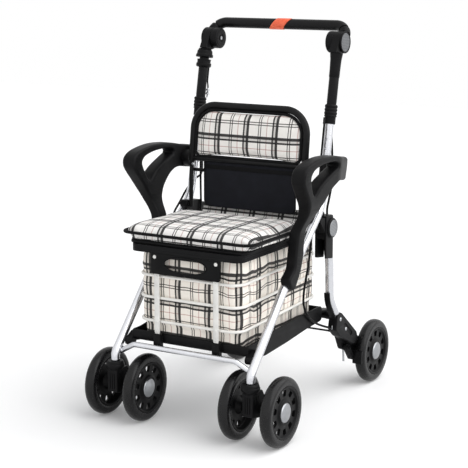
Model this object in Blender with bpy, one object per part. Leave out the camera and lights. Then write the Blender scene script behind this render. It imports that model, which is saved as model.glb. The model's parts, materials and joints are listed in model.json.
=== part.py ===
"""Shopping rollator: a walking cart with a seat, a hanging shopping bag, twin front casters and a folding
rear frame.

Metres, +Z up. Inside the model y is measured from the front caster stems towards the user, x from the middle
and z from the floor. An empty called cart carries everything, and moves the origin to the bottom centre.
Left and right are the user's, who walks behind the cart at +Y: left is +X.
"""

import math

import bmesh
import bpy
from mathutils import Matrix, Vector

# Clearances
GAP = 0.0003
RUN = 0.0003
SLIDE_FIT = 0.0004

# Places from the middle out: half the track is the line that the uprights and the front stems stand on
TRACK = 0.3412
STEM_X = TRACK / 2

# Wheels
WHEEL_D = 0.150
WHEEL_W = 0.026
TYRE_SHOULDER = 0.008
RIM_R = 0.056
HUB_RECESS = 0.004
HUB_CAP_R = 0.0215
HUB_CAP_RISE = 0.0035
HUB_BOSS_R = 0.013
HUB_BOSS_REACH = 0.010
POCKETS = 8
POCKET_INNER_R = 0.026
POCKET_OUTER_R = 0.050
POCKET_DEPTH = 0.006
AXLE_R = 0.004
AXLE_DEPTH = 0.017

# Front casters
TRAIL = 0.039
TWIN_SPACING = 0.100
STEM_TOP_Z = 0.139
STEM_R = 0.0055
STEM_LENGTH = 0.022
COLLAR_R = 0.023
COLLAR_HEIGHT = 0.014
FORK_WIDTH = 0.022
FORK_FRONT = 0.013
AXLE_BOSS_R = 0.016

# Rear wheels
REAR_WHEEL_X = STEM_X + 0.0134
REAR_AXLE_Y = 0.559

# Raked tubes: the line that the uprights follow
RAKE = math.radians(11.1)
RAKE_Z = 0.600
RAKE_Y = 0.338
TUBE_R = 0.0095
UPPER_TUBE_R = TUBE_R + 0.0015
MAIN_TOP_Z = 0.745
UPPER_BOTTOM_Z = 0.649
UPPER_TOP_Z = 0.795
KNEE_Z = 0.460
KNEE_R = 0.090
LEG_BEND = (0.137, 0.307)
LEG_BEND_R = 0.250
FOOT_BEND = (0.0, 0.156)
FOOT_BEND_R = 0.025
HOLE_R = 0.0032
HOLE_PITCH = 0.020
HOLES = 5

# Collar and its push button
COLLAR_BODY_R = UPPER_TUBE_R + 0.0035
COLLAR_TOP_Z = 0.684
COLLAR_STEP_Z = 0.658
COLLAR_BOTTOM_Z = 0.642
COLLAR_RING_R = UPPER_TUBE_R + 0.0015
COLLAR_RIBS = 3
EAR_R = 0.0038
EAR_OFFSET = COLLAR_BODY_R - 0.0017
EAR_DROP = 0.0006
BUTTON_Z = 0.667
BUTTON_R = 0.0027
BUTTON_HEAD_R = 0.0042
BUTTON_TRAVEL = 0.0025

# Handle
PIVOT_Y = 0.400
PIVOT_Z = 0.819
DISC_R = 0.024
KNUCKLE_INNER_X = STEM_X - 0.0296
KNUCKLE_OUTER_X = STEM_X - 0.0119
HEAD_OUTER_X = STEM_X + 0.0064
CAP_OUTER_X = STEM_X + 0.0116
CAP_R = 0.0245
CAP_FACE_R = 0.0205
BOLT_R = 0.004
PLUG_LENGTH = 0.009
HANDLE_HALF = STEM_X + 0.0004
HANDLE_RISE = 0.046
HANDLE_ANGLE = math.atan2(0.030, 0.035)
HANDLE_TUBE_R = 0.0095
HANDLE_BEND_R = 3 * HANDLE_TUBE_R - 0.0005
GRIP_R = HANDLE_TUBE_R + 0.0025
BAR_START = math.radians(18)
GRIP_START = math.radians(41)
SOCKET_R = HANDLE_TUBE_R + 0.0035
BAND_X = 0.001
BAND_LENGTH = 0.036
BAND_SLANT = 0.020
BAND_WALL = 0.0006

# Release sleeve on the right-hand upper tube
CLAMP_TOP_Z = 0.792
CLAMP_SPLIT_Z = 0.771
RING_BOTTOM_Z = 0.753
CLAMP_R = UPPER_TUBE_R + 0.004
CLAMP_SKIRT_R = CLAMP_R + 0.0025
RING_R = UPPER_TUBE_R + 0.004
RING_TRAVEL = 0.005
RELEASE_CABLE_R = 0.0018

# Armrests
ARMREST_THICKNESS = 0.025
ARMREST_SPLAY = ((0.425, 0.0064), (0.436, 0.0104), (0.467, 0.0284), (0.490, 0.0359), (0.560, 0.0434))
ARMREST_TURN_Y = 0.285
ARMREST_TURN = 0.26
ARMREST_EDGE = 0.005
CLAMP_OUTER_X = STEM_X + 0.0244

# Fold pivot and joint blocks
FOLD_Y = 0.342
FOLD_Z = 0.410
FOLD_ANGLE = math.radians(35)
REAR_LEG_X = STEM_X - 0.0026
BLOCK_INNER_X = STEM_X - 0.0181
BLOCK_OUTER_X = STEM_X + 0.0106
BLOCK_FRONT_Y = 0.3155
BLOCK_REAR_Y = 0.3500
BLOCK_TOP_Z = 0.440
BLOCK_LOW_FRONT_Z = 0.344
BLOCK_LOW_REAR_Z = 0.340
BLOCK_STEP_Z = 0.449
SADDLE_INNER_X = STEM_X - 0.0197
SADDLE_EAR = (0.270, 0.446)
SADDLE_EAR_R = 0.0085
BLOCK_CORNER = 0.006
KNUCKLE_EYE_R = 0.0150
FOLD_PIN_R = 0.005
PIN_END_X = STEM_X - 0.0161
BLOCK_CAP_R = 0.023
BLOCK_CAP_THICKNESS = 0.0050

# Rear legs and brackets
LEG_TOP_BEND = (0.3580, 0.322)
LEG_LOW_BEND = (0.3610, 0.241)
LEG_END = (0.4010, 0.185)
NECK_HALF = 0.0112
TONGUE_TOP_Z = 0.262
TONGUE_GAP = 0.001
TONGUE_THICKNESS = 0.0038
ARM_INNER_X = STEM_X - 0.0216
ARM_OUTER_X = STEM_X - 0.0101
CROSS_TUBE_Y = 0.394
CROSS_TUBE_Z = 0.193
CROSS_TUBE_R = 0.008
TIE_ROD_Y = 0.400
TIE_ROD_Z = 0.155
TIE_ROD_R = 0.00225
EYELET_Y = 0.383
EYELET_Z = 0.169
EYELET_R = 0.0077

# Brake shoes
BRAKE_Y = 0.452
BRAKE_Z = 0.106
BRAKE_HUB_R = 0.0075
PAD_CLEARANCE = 0.0038
PAD_THICKNESS = 0.005
PAD_HALF_ANGLE = math.radians(12)

# Backrest
BACK_HALF = STEM_X - 0.0251
BACK_TUBE_R = 0.0078
BACK_LEG_R = 0.0050
BACK_LEG_TOP_Z = 0.545
BACK_TOP = (0.2920, 0.675)
BACK_LOW_BEND = (0.2725, 0.505)
BACK_FOOT = (0.2715, 0.440)
BACK_CORNER_R = 0.055
BACK_RAIL_Z = 0.5525
BACK_RAIL_R = 0.0045
PAD_THICK = 0.013
PAD_CROWN = 0.006
CROSSBAR_Z = 0.525
CROSSBAR_R = 0.004
CROSSBAR_HALF = STEM_X - 0.0206
POUCH_HALF = 0.115
POUCH_LOW_Z = 0.445
POUCH_THICKNESS = 0.005
LOOP_INNER_X = 0.043
LOOP_OUTER_X = 0.096

# Seat
SEAT_HINGE_Y = 0.2555
SEAT_HINGE_Z = 0.4035
SEAT_HALF = STEM_X - 0.0076
SEAT_FRONT_Y = 0.012
SEAT_REAR_Y = 0.2585
SEAT_CORNER_R = 0.020
SEAT_PIPING_Z = 0.424
SEAT_TOP_Z = 0.445
CUSHION_LOW_Z = 0.4063
BOARD_LOW_Z = 0.4005
BOARD_HALF = STEM_X - 0.0336
BOARD_FRONT_Y = 0.024
BOARD_REAR_Y = 0.252
HINGE_BARREL_R = 0.0028
HINGE_BARREL_X = 0.100
HINGE_BARREL_LENGTH = 0.040

# Seat rim: the ring that the bag hangs in
RIM_HALF = STEM_X - 0.0316
RIM_FRONT_Y = 0.013
RIM_REAR_Y = 0.2585
RIM_LOW_Z = 0.385
RIM_HEIGHT = 0.015
RIM_BAND = 0.026
RIM_LUG_Y = (0.222, 0.252)
PLATE_HALF = 0.086
PLATE_FRONT_Y = 0.017
PLATE_THICKNESS = 0.003
PLATE_LOW_Z = 0.339
PLATE_TOP_Z = 0.386
OVAL_HALF = 0.0525
OVAL_R = 0.0165
OVAL_Z = 0.364
FLANGE_THICKNESS = 0.003
FLANGE_LOW_Z = 0.3745

# Bag, hoops and straps
BAG_HALF = RIM_HALF - 0.015
BAG_FRONT_Y = 0.0315
BAG_REAR_Y = 0.372
BAG_LOW_Z = 0.190
BAG_TOP_Z = 0.3845
BAG_TUCK_Z = 0.222
BAG_FREE_Z = 0.2265
BAG_CORNER_R = 0.024
BAG_WALL = 0.0025
BAG_FULLNESS = 0.0012
HOOP_R = 0.00325
HOOP_LEVELS = {"top": 0.333, "mid": 0.285, "low": 0.233}
HOOP_RISE = 0.010
STRAP_X = 0.074
STRAP_WIDTH = 0.013
STRAP_THICKNESS = 0.0016
STRAP_TOP_Z = 0.352
STRAP_LOW_Z = 0.2068

# Tray under the bag
TRAY_PIVOT_Y = 0.030
TRAY_PIVOT_Z = 0.178
TRAY_HALF = STEM_X - 0.0236
TRAY_WALL = 0.004
TRAY_FLOOR = 0.0035
TRAY_FRONT_Y = 0.030
TRAY_REAR_Y = 0.366
TRAY_PIN_R = 0.003
TRAY_HOOK_X = (TRAY_HALF - 0.019, TRAY_HALF - 0.002)
TRAY_CLIP_Y = 0.018
TRAY_CLIP_TOP_Z = 0.2062
TRAY_RATIO = 0.45

# Front cross tube
FRONT_TUBE_R = 0.006
FRONT_TUBE_Y = 0.010
FRONT_TUBE_Z = 0.178
FRONT_TUBE_HALF = STEM_X - 0.0426
FRONT_TUBE_END = (STEM_X - 0.0036, 0.013, 0.156)
FRONT_TUBE_BEND_R = 0.022

# Cables
CABLE_R = 0.0025

SIDES = {"left": 1, "right": -1}
WHEEL_R = WHEEL_D / 2
AXLE_Z = WHEEL_R
MID_Y = ((TRAIL - WHEEL_R) + (REAR_AXLE_Y + WHEEL_R)) / 2
ALONG_X = Matrix.Rotation(math.pi / 2, 4, "Y")


# Outlines


def arc(y, z, radius, start, end, steps):
    """Points along an arc in degrees, 0 towards +Y and 90 towards +Z."""
    angles = [math.radians(start + (end - start) * k / steps) for k in range(steps + 1)]
    return [(y + radius * math.cos(a), z + radius * math.sin(a)) for a in angles]


def hull(*circles, steps=16):
    """The outline of a band stretched round circles (y, z, radius), as links, lugs and moulded arms have."""
    points = set()
    for y, z, radius in circles:
        points.update(arc(y, z, radius, 0, 360 - 360 / steps, steps - 1) if radius > 0 else [(y, z)])
    points = sorted(points)

    def half(ordered):
        chain = []
        for p in ordered:
            while len(chain) > 1 and turn(chain[-2], chain[-1], p) <= 1e-12:
                chain.pop()
            chain.append(p)
        return chain[:-1]

    return half(points) + half(points[::-1])


def turn(a, b, c):
    """Positive where the corner a, b, c turns left."""
    return (b[0] - a[0]) * (c[1] - a[1]) - (b[1] - a[1]) * (c[0] - a[0])


def bend(corners, radii, step=14):
    """The centre line of a bent tube: straight runs, with an arc at each corner between."""
    corners = [Vector(c) for c in corners]
    points = [corners[0]]
    for before, corner, after, radius in zip(corners, corners[1:], corners[2:], radii):
        back = (before - corner).normalized()
        on = (after - corner).normalized()
        swing = math.pi - back.angle(on)
        centre = corner + (back + on).normalized() * radius / math.cos(swing / 2)
        start = corner + back * radius * math.tan(swing / 2) - centre
        end = corner + on * radius * math.tan(swing / 2) - centre
        steps = max(2, round(math.degrees(swing) / step))
        for k in range(steps + 1):
            t = k / steps
            turned = start * math.sin((1 - t) * swing) + end * math.sin(t * swing)
            points.append(centre + turned / math.sin(swing))
    points.append(corners[-1])
    return points


def rounded_rectangle(half, front, rear, radius, steps=4):
    """A closed outline in x and y, counter-clockwise from above."""
    corners = [(half, rear, 0), (-half, rear, 90), (-half, front, 180), (half, front, 270)]
    points = []
    for x, y, start in corners:
        cx = x - math.copysign(radius, x)
        cy = y - radius if y == rear else y + radius
        points += arc(cx, cy, radius, start, start + 90, steps)
    return points


def smooth(points, spacing):
    """Points a steady distance apart on a smooth curve through the given ones."""
    points = [Vector(p) for p in points]
    padded = [2 * points[0] - points[1]] + points + [2 * points[-1] - points[-2]]
    fine = []
    for a, b, c, d in zip(padded, padded[1:], padded[2:], padded[3:]):
        for k in range(24):
            t = k / 24
            even = 2 * b + (2 * a - 5 * b + 4 * c - d) * t**2
            fine.append(0.5 * (even + (c - a) * t + (3 * b - a - 3 * c + d) * t**3))
    fine.append(points[-1])
    length = [0.0]
    for a, b in zip(fine, fine[1:]):
        length.append(length[-1] + (b - a).length)
    count = max(2, round(length[-1] / spacing))
    result = []
    k = 0
    for n in range(count + 1):
        want = length[-1] * n / count
        while k < len(length) - 2 and length[k + 1] < want:
            k += 1
        t = (want - length[k]) / (length[k + 1] - length[k])
        result.append(fine[k].lerp(fine[k + 1], t))
    return result


# Solids, as bmesh bodies in the cart's own coordinates


def prism(outline, x0, x1):
    """An outline in y and z, extruded along X."""
    bm = bmesh.new()
    face = bm.faces.new([bm.verts.new((x0, y, z)) for y, z in outline])
    out = bmesh.ops.extrude_face_region(bm, geom=[face])
    moved = [v for v in out["geom"] if isinstance(v, bmesh.types.BMVert)]
    bmesh.ops.translate(bm, vec=(x1 - x0, 0, 0), verts=moved)
    bmesh.ops.recalc_face_normals(bm, faces=bm.faces)
    return bm


def revolve(profile, steps, matrix=Matrix(), closed=False):
    """A profile of (radius, height), turned round the Z axis and then placed by the matrix."""
    bm = bmesh.new()
    verts = [bm.verts.new((r, 0, h)) for r, h in profile]
    edges = [bm.edges.new(pair) for pair in zip(verts, verts[1:])]
    if closed:
        edges.append(bm.edges.new((verts[-1], verts[0])))
    turn_all = {"cent": (0, 0, 0), "axis": (0, 0, 1), "angle": 2 * math.pi, "steps": steps, "use_merge": True}
    bmesh.ops.spin(bm, geom=verts + edges, **turn_all)
    bmesh.ops.remove_doubles(bm, verts=bm.verts, dist=1e-6)
    bmesh.ops.recalc_face_normals(bm, faces=bm.faces)
    bmesh.ops.transform(bm, matrix=matrix, verts=bm.verts)
    return bm


def cylinder(radius, x0, x1, y, z, steps=16):
    """A cylinder along X."""
    profile = [(0, x0), (radius, x0), (radius, x1), (0, x1)]
    return revolve(profile, steps, Matrix.Translation((0, y, z)) @ ALONG_X)


def rod(radius, start, end, steps=12):
    """A cylinder from one point to another."""
    start, end = Vector(start), Vector(end)
    turned = (end - start).to_track_quat("Z", "Y").to_matrix().to_4x4()
    length = (end - start).length
    profile = [(0, 0), (radius, 0), (radius, length), (0, length)]
    return revolve(profile, steps, Matrix.Translation(start) @ turned)


def sweep(points, radius, sides=10, closed=False):
    """A round tube along a path, of one radius or of a radius for each point."""
    bm = bmesh.new()
    points = [Vector(p) for p in points]
    count = len(points)
    radii = radius if isinstance(radius, list) else [radius] * count
    rings = []
    side = None
    for k, p in enumerate(points):
        before = points[k - 1] if k or closed else p
        after = points[(k + 1) % count] if k < count - 1 or closed else p
        along = ((after - p).normalized() + (p - before).normalized()).normalized()
        if side is None:
            side = along.orthogonal().normalized() if abs(along.x) > 0.99 else Vector((1, 0, 0))
        side = (side - along * side.dot(along)).normalized()
        lift = along.cross(side)
        ring = []
        for s in range(sides):
            a = 2 * math.pi * (s + 0.5) / sides
            ring.append(bm.verts.new(p + (side * math.cos(a) + lift * math.sin(a)) * radii[k]))
        rings.append(ring)
    pairs = list(zip(rings, rings[1:]))
    if closed:
        pairs.append((rings[-1], rings[0]))
    for a, b in pairs:
        for s in range(sides):
            t = (s + 1) % sides
            bm.faces.new((a[s], a[t], b[t], b[s]))
    if not closed:
        bm.faces.new(rings[0][::-1])
        bm.faces.new(rings[-1])
    bmesh.ops.recalc_face_normals(bm, faces=bm.faces)
    return bm


def loft(rings, cap_low=None, cap_high=None):
    """A skin through outlines of the same number of points, with a flat or a centred cap at each end."""
    bm = bmesh.new()
    made = [[bm.verts.new(p) for p in ring] for ring in rings]
    count = len(made[0])
    for a, b in zip(made, made[1:]):
        for s in range(count):
            t = (s + 1) % count
            bm.faces.new((a[s], a[t], b[t], b[s]))
    for ring, centre in ((made[0], cap_low), (made[-1], cap_high)):
        if centre is None:
            bm.faces.new(ring)
        else:
            middle = bm.verts.new(centre)
            for s in range(count):
                bm.faces.new((ring[s], ring[(s + 1) % count], middle))
    bmesh.ops.recalc_face_normals(bm, faces=bm.faces)
    return bm


# Objects


def empty(name, place, parent=None):
    """An empty on a joint's axis, or the one that carries the whole cart."""
    obj = bpy.data.objects.new(name, None)
    obj.empty_display_size = 0.03
    obj["place"] = place
    bpy.context.scene.collection.objects.link(obj)
    attach(obj, place, parent)
    return obj


def attach(obj, place, parent):
    """Puts an object's origin at a place given in the cart's coordinates."""
    offset = Vector(parent["place"]) if parent else Vector((0, 0, 0))
    obj.parent = parent
    obj.location = Vector(place) - offset


def hidden(name, bm, parent):
    """A cutter, or a piece that is fused into another."""
    mesh = bpy.data.meshes.new(name)
    bm.to_mesh(mesh)
    bm.free()
    obj = bpy.data.objects.new(name, mesh)
    bpy.context.scene.collection.objects.link(obj)
    attach(obj, (0, 0, 0), parent)
    obj.hide_render = True
    obj.display_type = "WIRE"
    return obj


def node(name, bm, parent, look, origin=None, cut=(), fuse=(), smooth_under=35):
    """A sub-part: its body, what is fused to it and cut from it, and its own material."""
    origin = Vector(origin) if origin is not None else Vector(parent["place"])
    bmesh.ops.translate(bm, vec=-origin, verts=bm.verts)
    mesh = bpy.data.meshes.new(name)
    bm.to_mesh(mesh)
    bm.free()
    mesh.shade_smooth()
    mesh.set_sharp_from_angle(angle=math.radians(smooth_under))
    obj = bpy.data.objects.new(name, mesh)
    bpy.context.scene.collection.objects.link(obj)
    attach(obj, origin, parent)
    mesh.materials.append(material(name, *look))
    for kind, bodies in (("UNION", fuse), ("DIFFERENCE", cut)):
        for k, body in enumerate(bodies):
            tool = hidden(f"{name}_{kind.lower()}_{k}", body, CART)
            step = obj.modifiers.new(tool.name, "BOOLEAN")
            step.operation = kind
            step.object = tool
            step.solver = "EXACT"
    return obj


def material(name, colour, roughness, metallic):
    """A Principled material of a node's own, from its colour as eight-bit sRGB."""
    mat = bpy.data.materials.new(name + "_finish")
    mat.use_nodes = True
    shader = mat.node_tree.nodes["Principled BSDF"]
    linear = [((c / 255 + 0.055) / 1.055) ** 2.4 if c > 10 else c / 3294.6 for c in colour]
    shader.inputs["Base Color"].default_value = (*linear, 1)
    shader.inputs["Roughness"].default_value = roughness
    shader.inputs["Metallic"].default_value = metallic
    return mat


def cable(name, route, parent, look, radius=CABLE_R):
    """A cable: a round curve read from a smooth line through its route's points."""
    curve = bpy.data.curves.new(name, "CURVE")
    curve.dimensions = "3D"
    curve.bevel_depth = radius
    curve.bevel_resolution = 2
    curve.use_fill_caps = True
    points = smooth(route, 9 * radius)
    spline = curve.splines.new("POLY")
    spline.points.add(len(points) - 1)
    for point, place in zip(spline.points, points):
        point.co = (*(place - Vector(parent["place"])), 1)
    obj = bpy.data.objects.new(name, curve)
    bpy.context.scene.collection.objects.link(obj)
    attach(obj, parent["place"], parent)
    curve.materials.append(material(name, *look))
    return obj


BLACK = ((26, 26, 27), 0.5, 0.0)
BLACK_STEEL = ((30, 30, 31), 0.35, 0.1)
FOAM = ((22, 22, 22), 0.85, 0.0)
SILVER = ((200, 200, 202), 0.3, 0.9)
GREY = ((140, 141, 142), 0.6, 0.0)
TYRE = ((48, 48, 50), 0.7, 0.0)
WHITE = ((228, 227, 220), 0.5, 0.0)
FABRIC = ((214, 208, 198), 0.9, 0.0)
DARK_FABRIC = ((24, 24, 25), 0.9, 0.0)
ORANGE = ((224, 110, 50), 0.6, 0.0)


for stale in list(bpy.data.objects):
    bpy.data.objects.remove(stale)


# Places on the raked line


def rake_y(z):
    return RAKE_Y + math.tan(RAKE) * (z - RAKE_Z)


def on_rake(side, z):
    """A frame on the upright's centre line: Z along the tube, and Y to its rear."""
    turned = Matrix.Rotation(-RAKE, 4, "X")
    return Matrix.Translation((side * STEM_X, rake_y(z), z)) @ turned


def off_rake(z, out, back):
    """A place beside the left upright at a height: out towards +X and back towards the user."""
    place = on_rake(1, z) @ Vector((out, back, 0))
    return place


def side_of(side, points):
    """The same points on the left or on the right."""
    return [(side * x, y, z) for x, y, z in points]


CART = empty("cart", (0, 0, 0))
CART.location = (0, -MID_Y, 0)
SLIDE = empty("upper_slide", (0, rake_y(UPPER_BOTTOM_Z), UPPER_BOTTOM_Z), CART)
HANDLE = empty("handle_pivot", (0, PIVOT_Y, PIVOT_Z), SLIDE)
SEAT = empty("seat_hinge", (0, SEAT_HINGE_Y, SEAT_HINGE_Z), CART)
FOLD = empty("fold_pivot", (0, FOLD_Y, FOLD_Z), CART)
TRAY = empty("tray_pivot", (0, TRAY_PIVOT_Y, TRAY_PIVOT_Z), CART)


# Wheels


def wheel_body(outward):
    """A moulded wheel round its own centre: tyre, pocketed hub, cap and the inner boss with its bore."""
    half = WHEEL_W / 2
    bore = AXLE_R + RUN
    boss = -half - HUB_BOSS_REACH
    profile = [
        (0, half + HUB_CAP_RISE),
        (HUB_CAP_R, half),
        (POCKET_INNER_R, half - HUB_RECESS),
        (POCKET_OUTER_R, half - HUB_RECESS),
        (RIM_R, half),
        (WHEEL_R - TYRE_SHOULDER, half),
        (WHEEL_R, half - TYRE_SHOULDER),
        (WHEEL_R, -half + TYRE_SHOULDER),
        (WHEEL_R - TYRE_SHOULDER, -half),
        (HUB_BOSS_R, -half + HUB_RECESS),
        (HUB_BOSS_R, boss),
        (bore, boss),
        (bore, boss + AXLE_DEPTH + HUB_BOSS_REACH),
        (0, boss + AXLE_DEPTH + HUB_BOSS_REACH),
    ]
    bm = revolve(profile, 3 * POCKETS)
    low, high = POCKET_INNER_R * 0.99, POCKET_OUTER_R * 1.01
    for pocket in range(POCKETS):
        faces = []
        for face in bm.faces:
            centre = face.calc_center_median()
            angle = math.degrees(math.atan2(centre.y, centre.x)) % 360 * POCKETS / 360
            on_hub = low < math.hypot(centre.x, centre.y) < high and face.normal.z > 0.9
            if on_hub and centre.z > 0 and int(angle) == pocket and angle - pocket < 2 / 3:
                faces.append(face)
        out = bmesh.ops.extrude_face_region(bm, geom=faces)
        sunk = [v for v in out["geom"] if isinstance(v, bmesh.types.BMVert)]
        bmesh.ops.translate(bm, vec=(0, 0, -POCKET_DEPTH), verts=sunk)
        bmesh.ops.delete(bm, geom=faces, context="FACES_ONLY")
    bmesh.ops.transform(bm, matrix=Matrix.Rotation(outward * math.pi / 2, 4, "Y"), verts=bm.verts)
    return bm


def wheel(name, place, outward, parent):
    bm = wheel_body(outward)
    bmesh.ops.translate(bm, vec=place, verts=bm.verts)
    node(name, bm, parent, TYRE, origin=place)


# Front casters


def caster(name, side):
    stem = (side * STEM_X, 0, STEM_TOP_Z)
    pivot = empty(f"caster_{name}", stem, CART)
    x = side * STEM_X
    half = FORK_WIDTH / 2
    collar_low = STEM_TOP_Z - GAP - COLLAR_HEIGHT
    outline = hull(
        (TRAIL, AXLE_Z, AXLE_BOSS_R),
        (-FORK_FRONT, collar_low - 0.004, 0),
        (-FORK_FRONT, AXLE_Z - 0.006, 0),
        (TRAIL - 0.010, collar_low - 0.004, 0),
    )
    body = prism(outline, x - half, x + half)
    turned = Matrix.Translation((x, 0, 0))
    top = [
        (0, collar_low - 0.010),
        (half, collar_low - 0.010),
        (COLLAR_R, collar_low),
        (COLLAR_R, STEM_TOP_Z - GAP - 0.003),
        (COLLAR_R - 0.004, STEM_TOP_Z - GAP),
        (STEM_R, STEM_TOP_Z - GAP),
        (STEM_R, STEM_TOP_Z + STEM_LENGTH),
        (0, STEM_TOP_Z + STEM_LENGTH),
    ]
    boss_half = TWIN_SPACING / 2 - WHEEL_W / 2 - HUB_BOSS_REACH - GAP
    pin_half = boss_half + HUB_BOSS_REACH + AXLE_DEPTH - GAP
    boss = cylinder(HUB_BOSS_R, x - boss_half, x + boss_half, TRAIL, AXLE_Z, 14)
    axle = cylinder(AXLE_R, x - pin_half, x + pin_half, TRAIL, AXLE_Z, 8)
    node(f"caster_fork_{name}", body, pivot, BLACK, fuse=(revolve(top, 14, turned), boss, axle))
    for place, outward in (("outer", side), ("inner", -side)):
        hub = (x + outward * TWIN_SPACING / 2, TRAIL, AXLE_Z)
        wheel(f"caster_wheel_{name}_{place}", hub, outward, pivot)


# Raked main tubes, which bend down into the front legs


def main_line(side):
    x = side * STEM_X
    corners = [
        (x, rake_y(MAIN_TOP_Z), MAIN_TOP_Z),
        (x, rake_y(KNEE_Z), KNEE_Z),
        (x, *LEG_BEND),
        (x, *FOOT_BEND),
        (x, FOOT_BEND[0], STEM_TOP_Z),
    ]
    return bend(corners, [KNEE_R, LEG_BEND_R, FOOT_BEND_R], 16)


def main_tube(name, side):
    x = side * STEM_X
    stem = rod(STEM_R + RUN, (x, 0, STEM_TOP_Z - 0.01), (x, 0, STEM_TOP_Z + STEM_LENGTH + 0.001))
    pin_end = x - side * (TUBE_R - 0.006)
    tray_hole = rod(
        TRAY_PIN_R + RUN, (x - side * 0.02, TRAY_PIVOT_Y, TRAY_PIVOT_Z), (pin_end, TRAY_PIVOT_Y, TRAY_PIVOT_Z)
    )
    holes = []
    for k in range(HOLES):
        along = on_rake(side, BUTTON_Z)
        height = (2 - k) * HOLE_PITCH if k < 3 else -k * HOLE_PITCH
        holes.append(rod(HOLE_R, along @ Vector((0, -0.02, height)), along @ Vector((0, 0.02, height)), 6))
    body = sweep(main_line(side), TUBE_R)
    node(f"main_tube_{name}", body, CART, SILVER, cut=(stem, tray_hole, *holes))


def front_cross_tube():
    x, y, z = FRONT_TUBE_END
    corners = [
        (-x, y, z),
        (-FRONT_TUBE_HALF, FRONT_TUBE_Y, FRONT_TUBE_Z),
        (FRONT_TUBE_HALF, FRONT_TUBE_Y, FRONT_TUBE_Z),
        (x, y, z),
    ]
    line = bend(corners, [FRONT_TUBE_BEND_R] * 2, 14)
    legs = [sweep(main_line(side), TUBE_R + GAP) for side in SIDES.values()]
    node("front_cross_tube", sweep(line, FRONT_TUBE_R, 10), CART, SILVER, cut=legs)


# Upper tubes with their collars, buttons and moulded heads


def upper_tube(name, side):
    low = on_rake(side, UPPER_BOTTOM_Z)
    length = (UPPER_TOP_Z - UPPER_BOTTOM_Z) / math.cos(RAKE)
    bore = TUBE_R + SLIDE_FIT
    profile = [(bore, 0), (UPPER_TUBE_R, 0), (UPPER_TUBE_R, length), (bore, length)]
    frame = on_rake(side, BUTTON_Z)
    hole = rod(BUTTON_R + RUN, frame @ Vector((0, 0.005, 0)), frame @ Vector((0, 0.02, 0)), 8)
    node(f"upper_tube_{name}", revolve(profile, 16, low, closed=True), SLIDE, BLACK_STEEL, cut=(hole,))


def collar(name, side):
    """The clamp sleeve: a ribbed body over the upper tube, and a lower ring with an ear for each cable."""
    frame = on_rake(side, UPPER_BOTTOM_Z)

    def height(z):
        return (z - UPPER_BOTTOM_Z) / math.cos(RAKE)

    step = height(COLLAR_STEP_Z)
    top = height(COLLAR_TOP_Z)
    low = height(COLLAR_BOTTOM_Z)
    rib = (top - step) / (2 * COLLAR_RIBS + 1)
    profile = [(0, top), (COLLAR_BODY_R - 0.0015, top)]
    for k in range(COLLAR_RIBS):
        ridge = top - rib * (2 * k + 1)
        profile += [(COLLAR_BODY_R, ridge), (COLLAR_BODY_R - 0.0012, ridge - rib)]
    profile += [(COLLAR_BODY_R, step), (COLLAR_RING_R, step), (COLLAR_RING_R, low), (0, low)]
    ears = []
    for out, back in ((-side * EAR_OFFSET, 0), (0, EAR_OFFSET)):
        foot = frame @ Vector((out, back, low - EAR_DROP))
        ears.append(rod(EAR_R, foot, frame @ Vector((out, back, step - 0.0008)), 8))
    bore = UPPER_TUBE_R + GAP
    low_bore = TUBE_R + SLIDE_FIT
    inside = [
        (0, low - 0.01), (low_bore, low - 0.01), (low_bore, -GAP), (bore, -GAP), (bore, top + 0.01),
        (0, top + 0.01),
    ]
    at_button = on_rake(side, BUTTON_Z)
    hole = rod(BUTTON_R + RUN, at_button @ Vector((0, 0.008, 0)), at_button @ Vector((0, 0.03, 0)), 8)
    body = revolve(profile, 14, frame)
    node(f"collar_{name}", body, SLIDE, BLACK, fuse=ears, cut=(hole, revolve(inside, 16, frame)))
    button(name, side)


def button(name, side):
    frame = on_rake(side, BUTTON_Z)
    rest = COLLAR_BODY_R + BUTTON_TRAVEL + GAP
    inner = UPPER_TUBE_R + 0.0014
    along = Matrix.Rotation(-math.pi / 2, 4, "X")
    profile = [
        (0, inner),
        (BUTTON_R, inner),
        (BUTTON_R, rest),
        (BUTTON_HEAD_R, rest),
        (BUTTON_HEAD_R, rest + 0.0016),
        (BUTTON_HEAD_R * 0.6, rest + 0.0026),
        (0, rest + 0.0028),
    ]
    place = frame @ Vector((0, rest, 0))
    node(f"collar_button_{name}", revolve(profile, 12, frame @ along), SLIDE, BLACK, origin=place)


def tube_head(name, side):
    """The moulded half of the handle joint on the upper tube's end, with a plug in the tube."""
    top = on_rake(1, UPPER_TOP_Z + GAP)
    front = top @ Vector((0, -UPPER_TUBE_R, 0))
    rear = top @ Vector((0, UPPER_TUBE_R, 0))
    outline = hull((PIVOT_Y, PIVOT_Z, DISC_R), (front.y, front.z, 0), (rear.y, rear.z, 0), steps=20)
    body = prism(outline, side * (KNUCKLE_OUTER_X + 0.0004), side * HEAD_OUTER_X)
    frame = on_rake(side, UPPER_TOP_Z)
    plug = rod(TUBE_R, frame @ Vector((0, 0, -PLUG_LENGTH)), frame @ Vector((0, 0, 0.001)), 12)
    neck = rod(UPPER_TUBE_R - 0.0003, frame @ Vector((0, 0, 1.5 * GAP)), frame @ Vector((0, 0, 0.0026)), 16)
    bore = cylinder(
        BOLT_R + RUN, side * (KNUCKLE_OUTER_X - 0.008), side * (HEAD_OUTER_X + 0.010), PIVOT_Y, PIVOT_Z, 12
    )
    node(f"tube_head_{name}", body, SLIDE, BLACK, fuse=(neck, plug), cut=(bore,))


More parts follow.
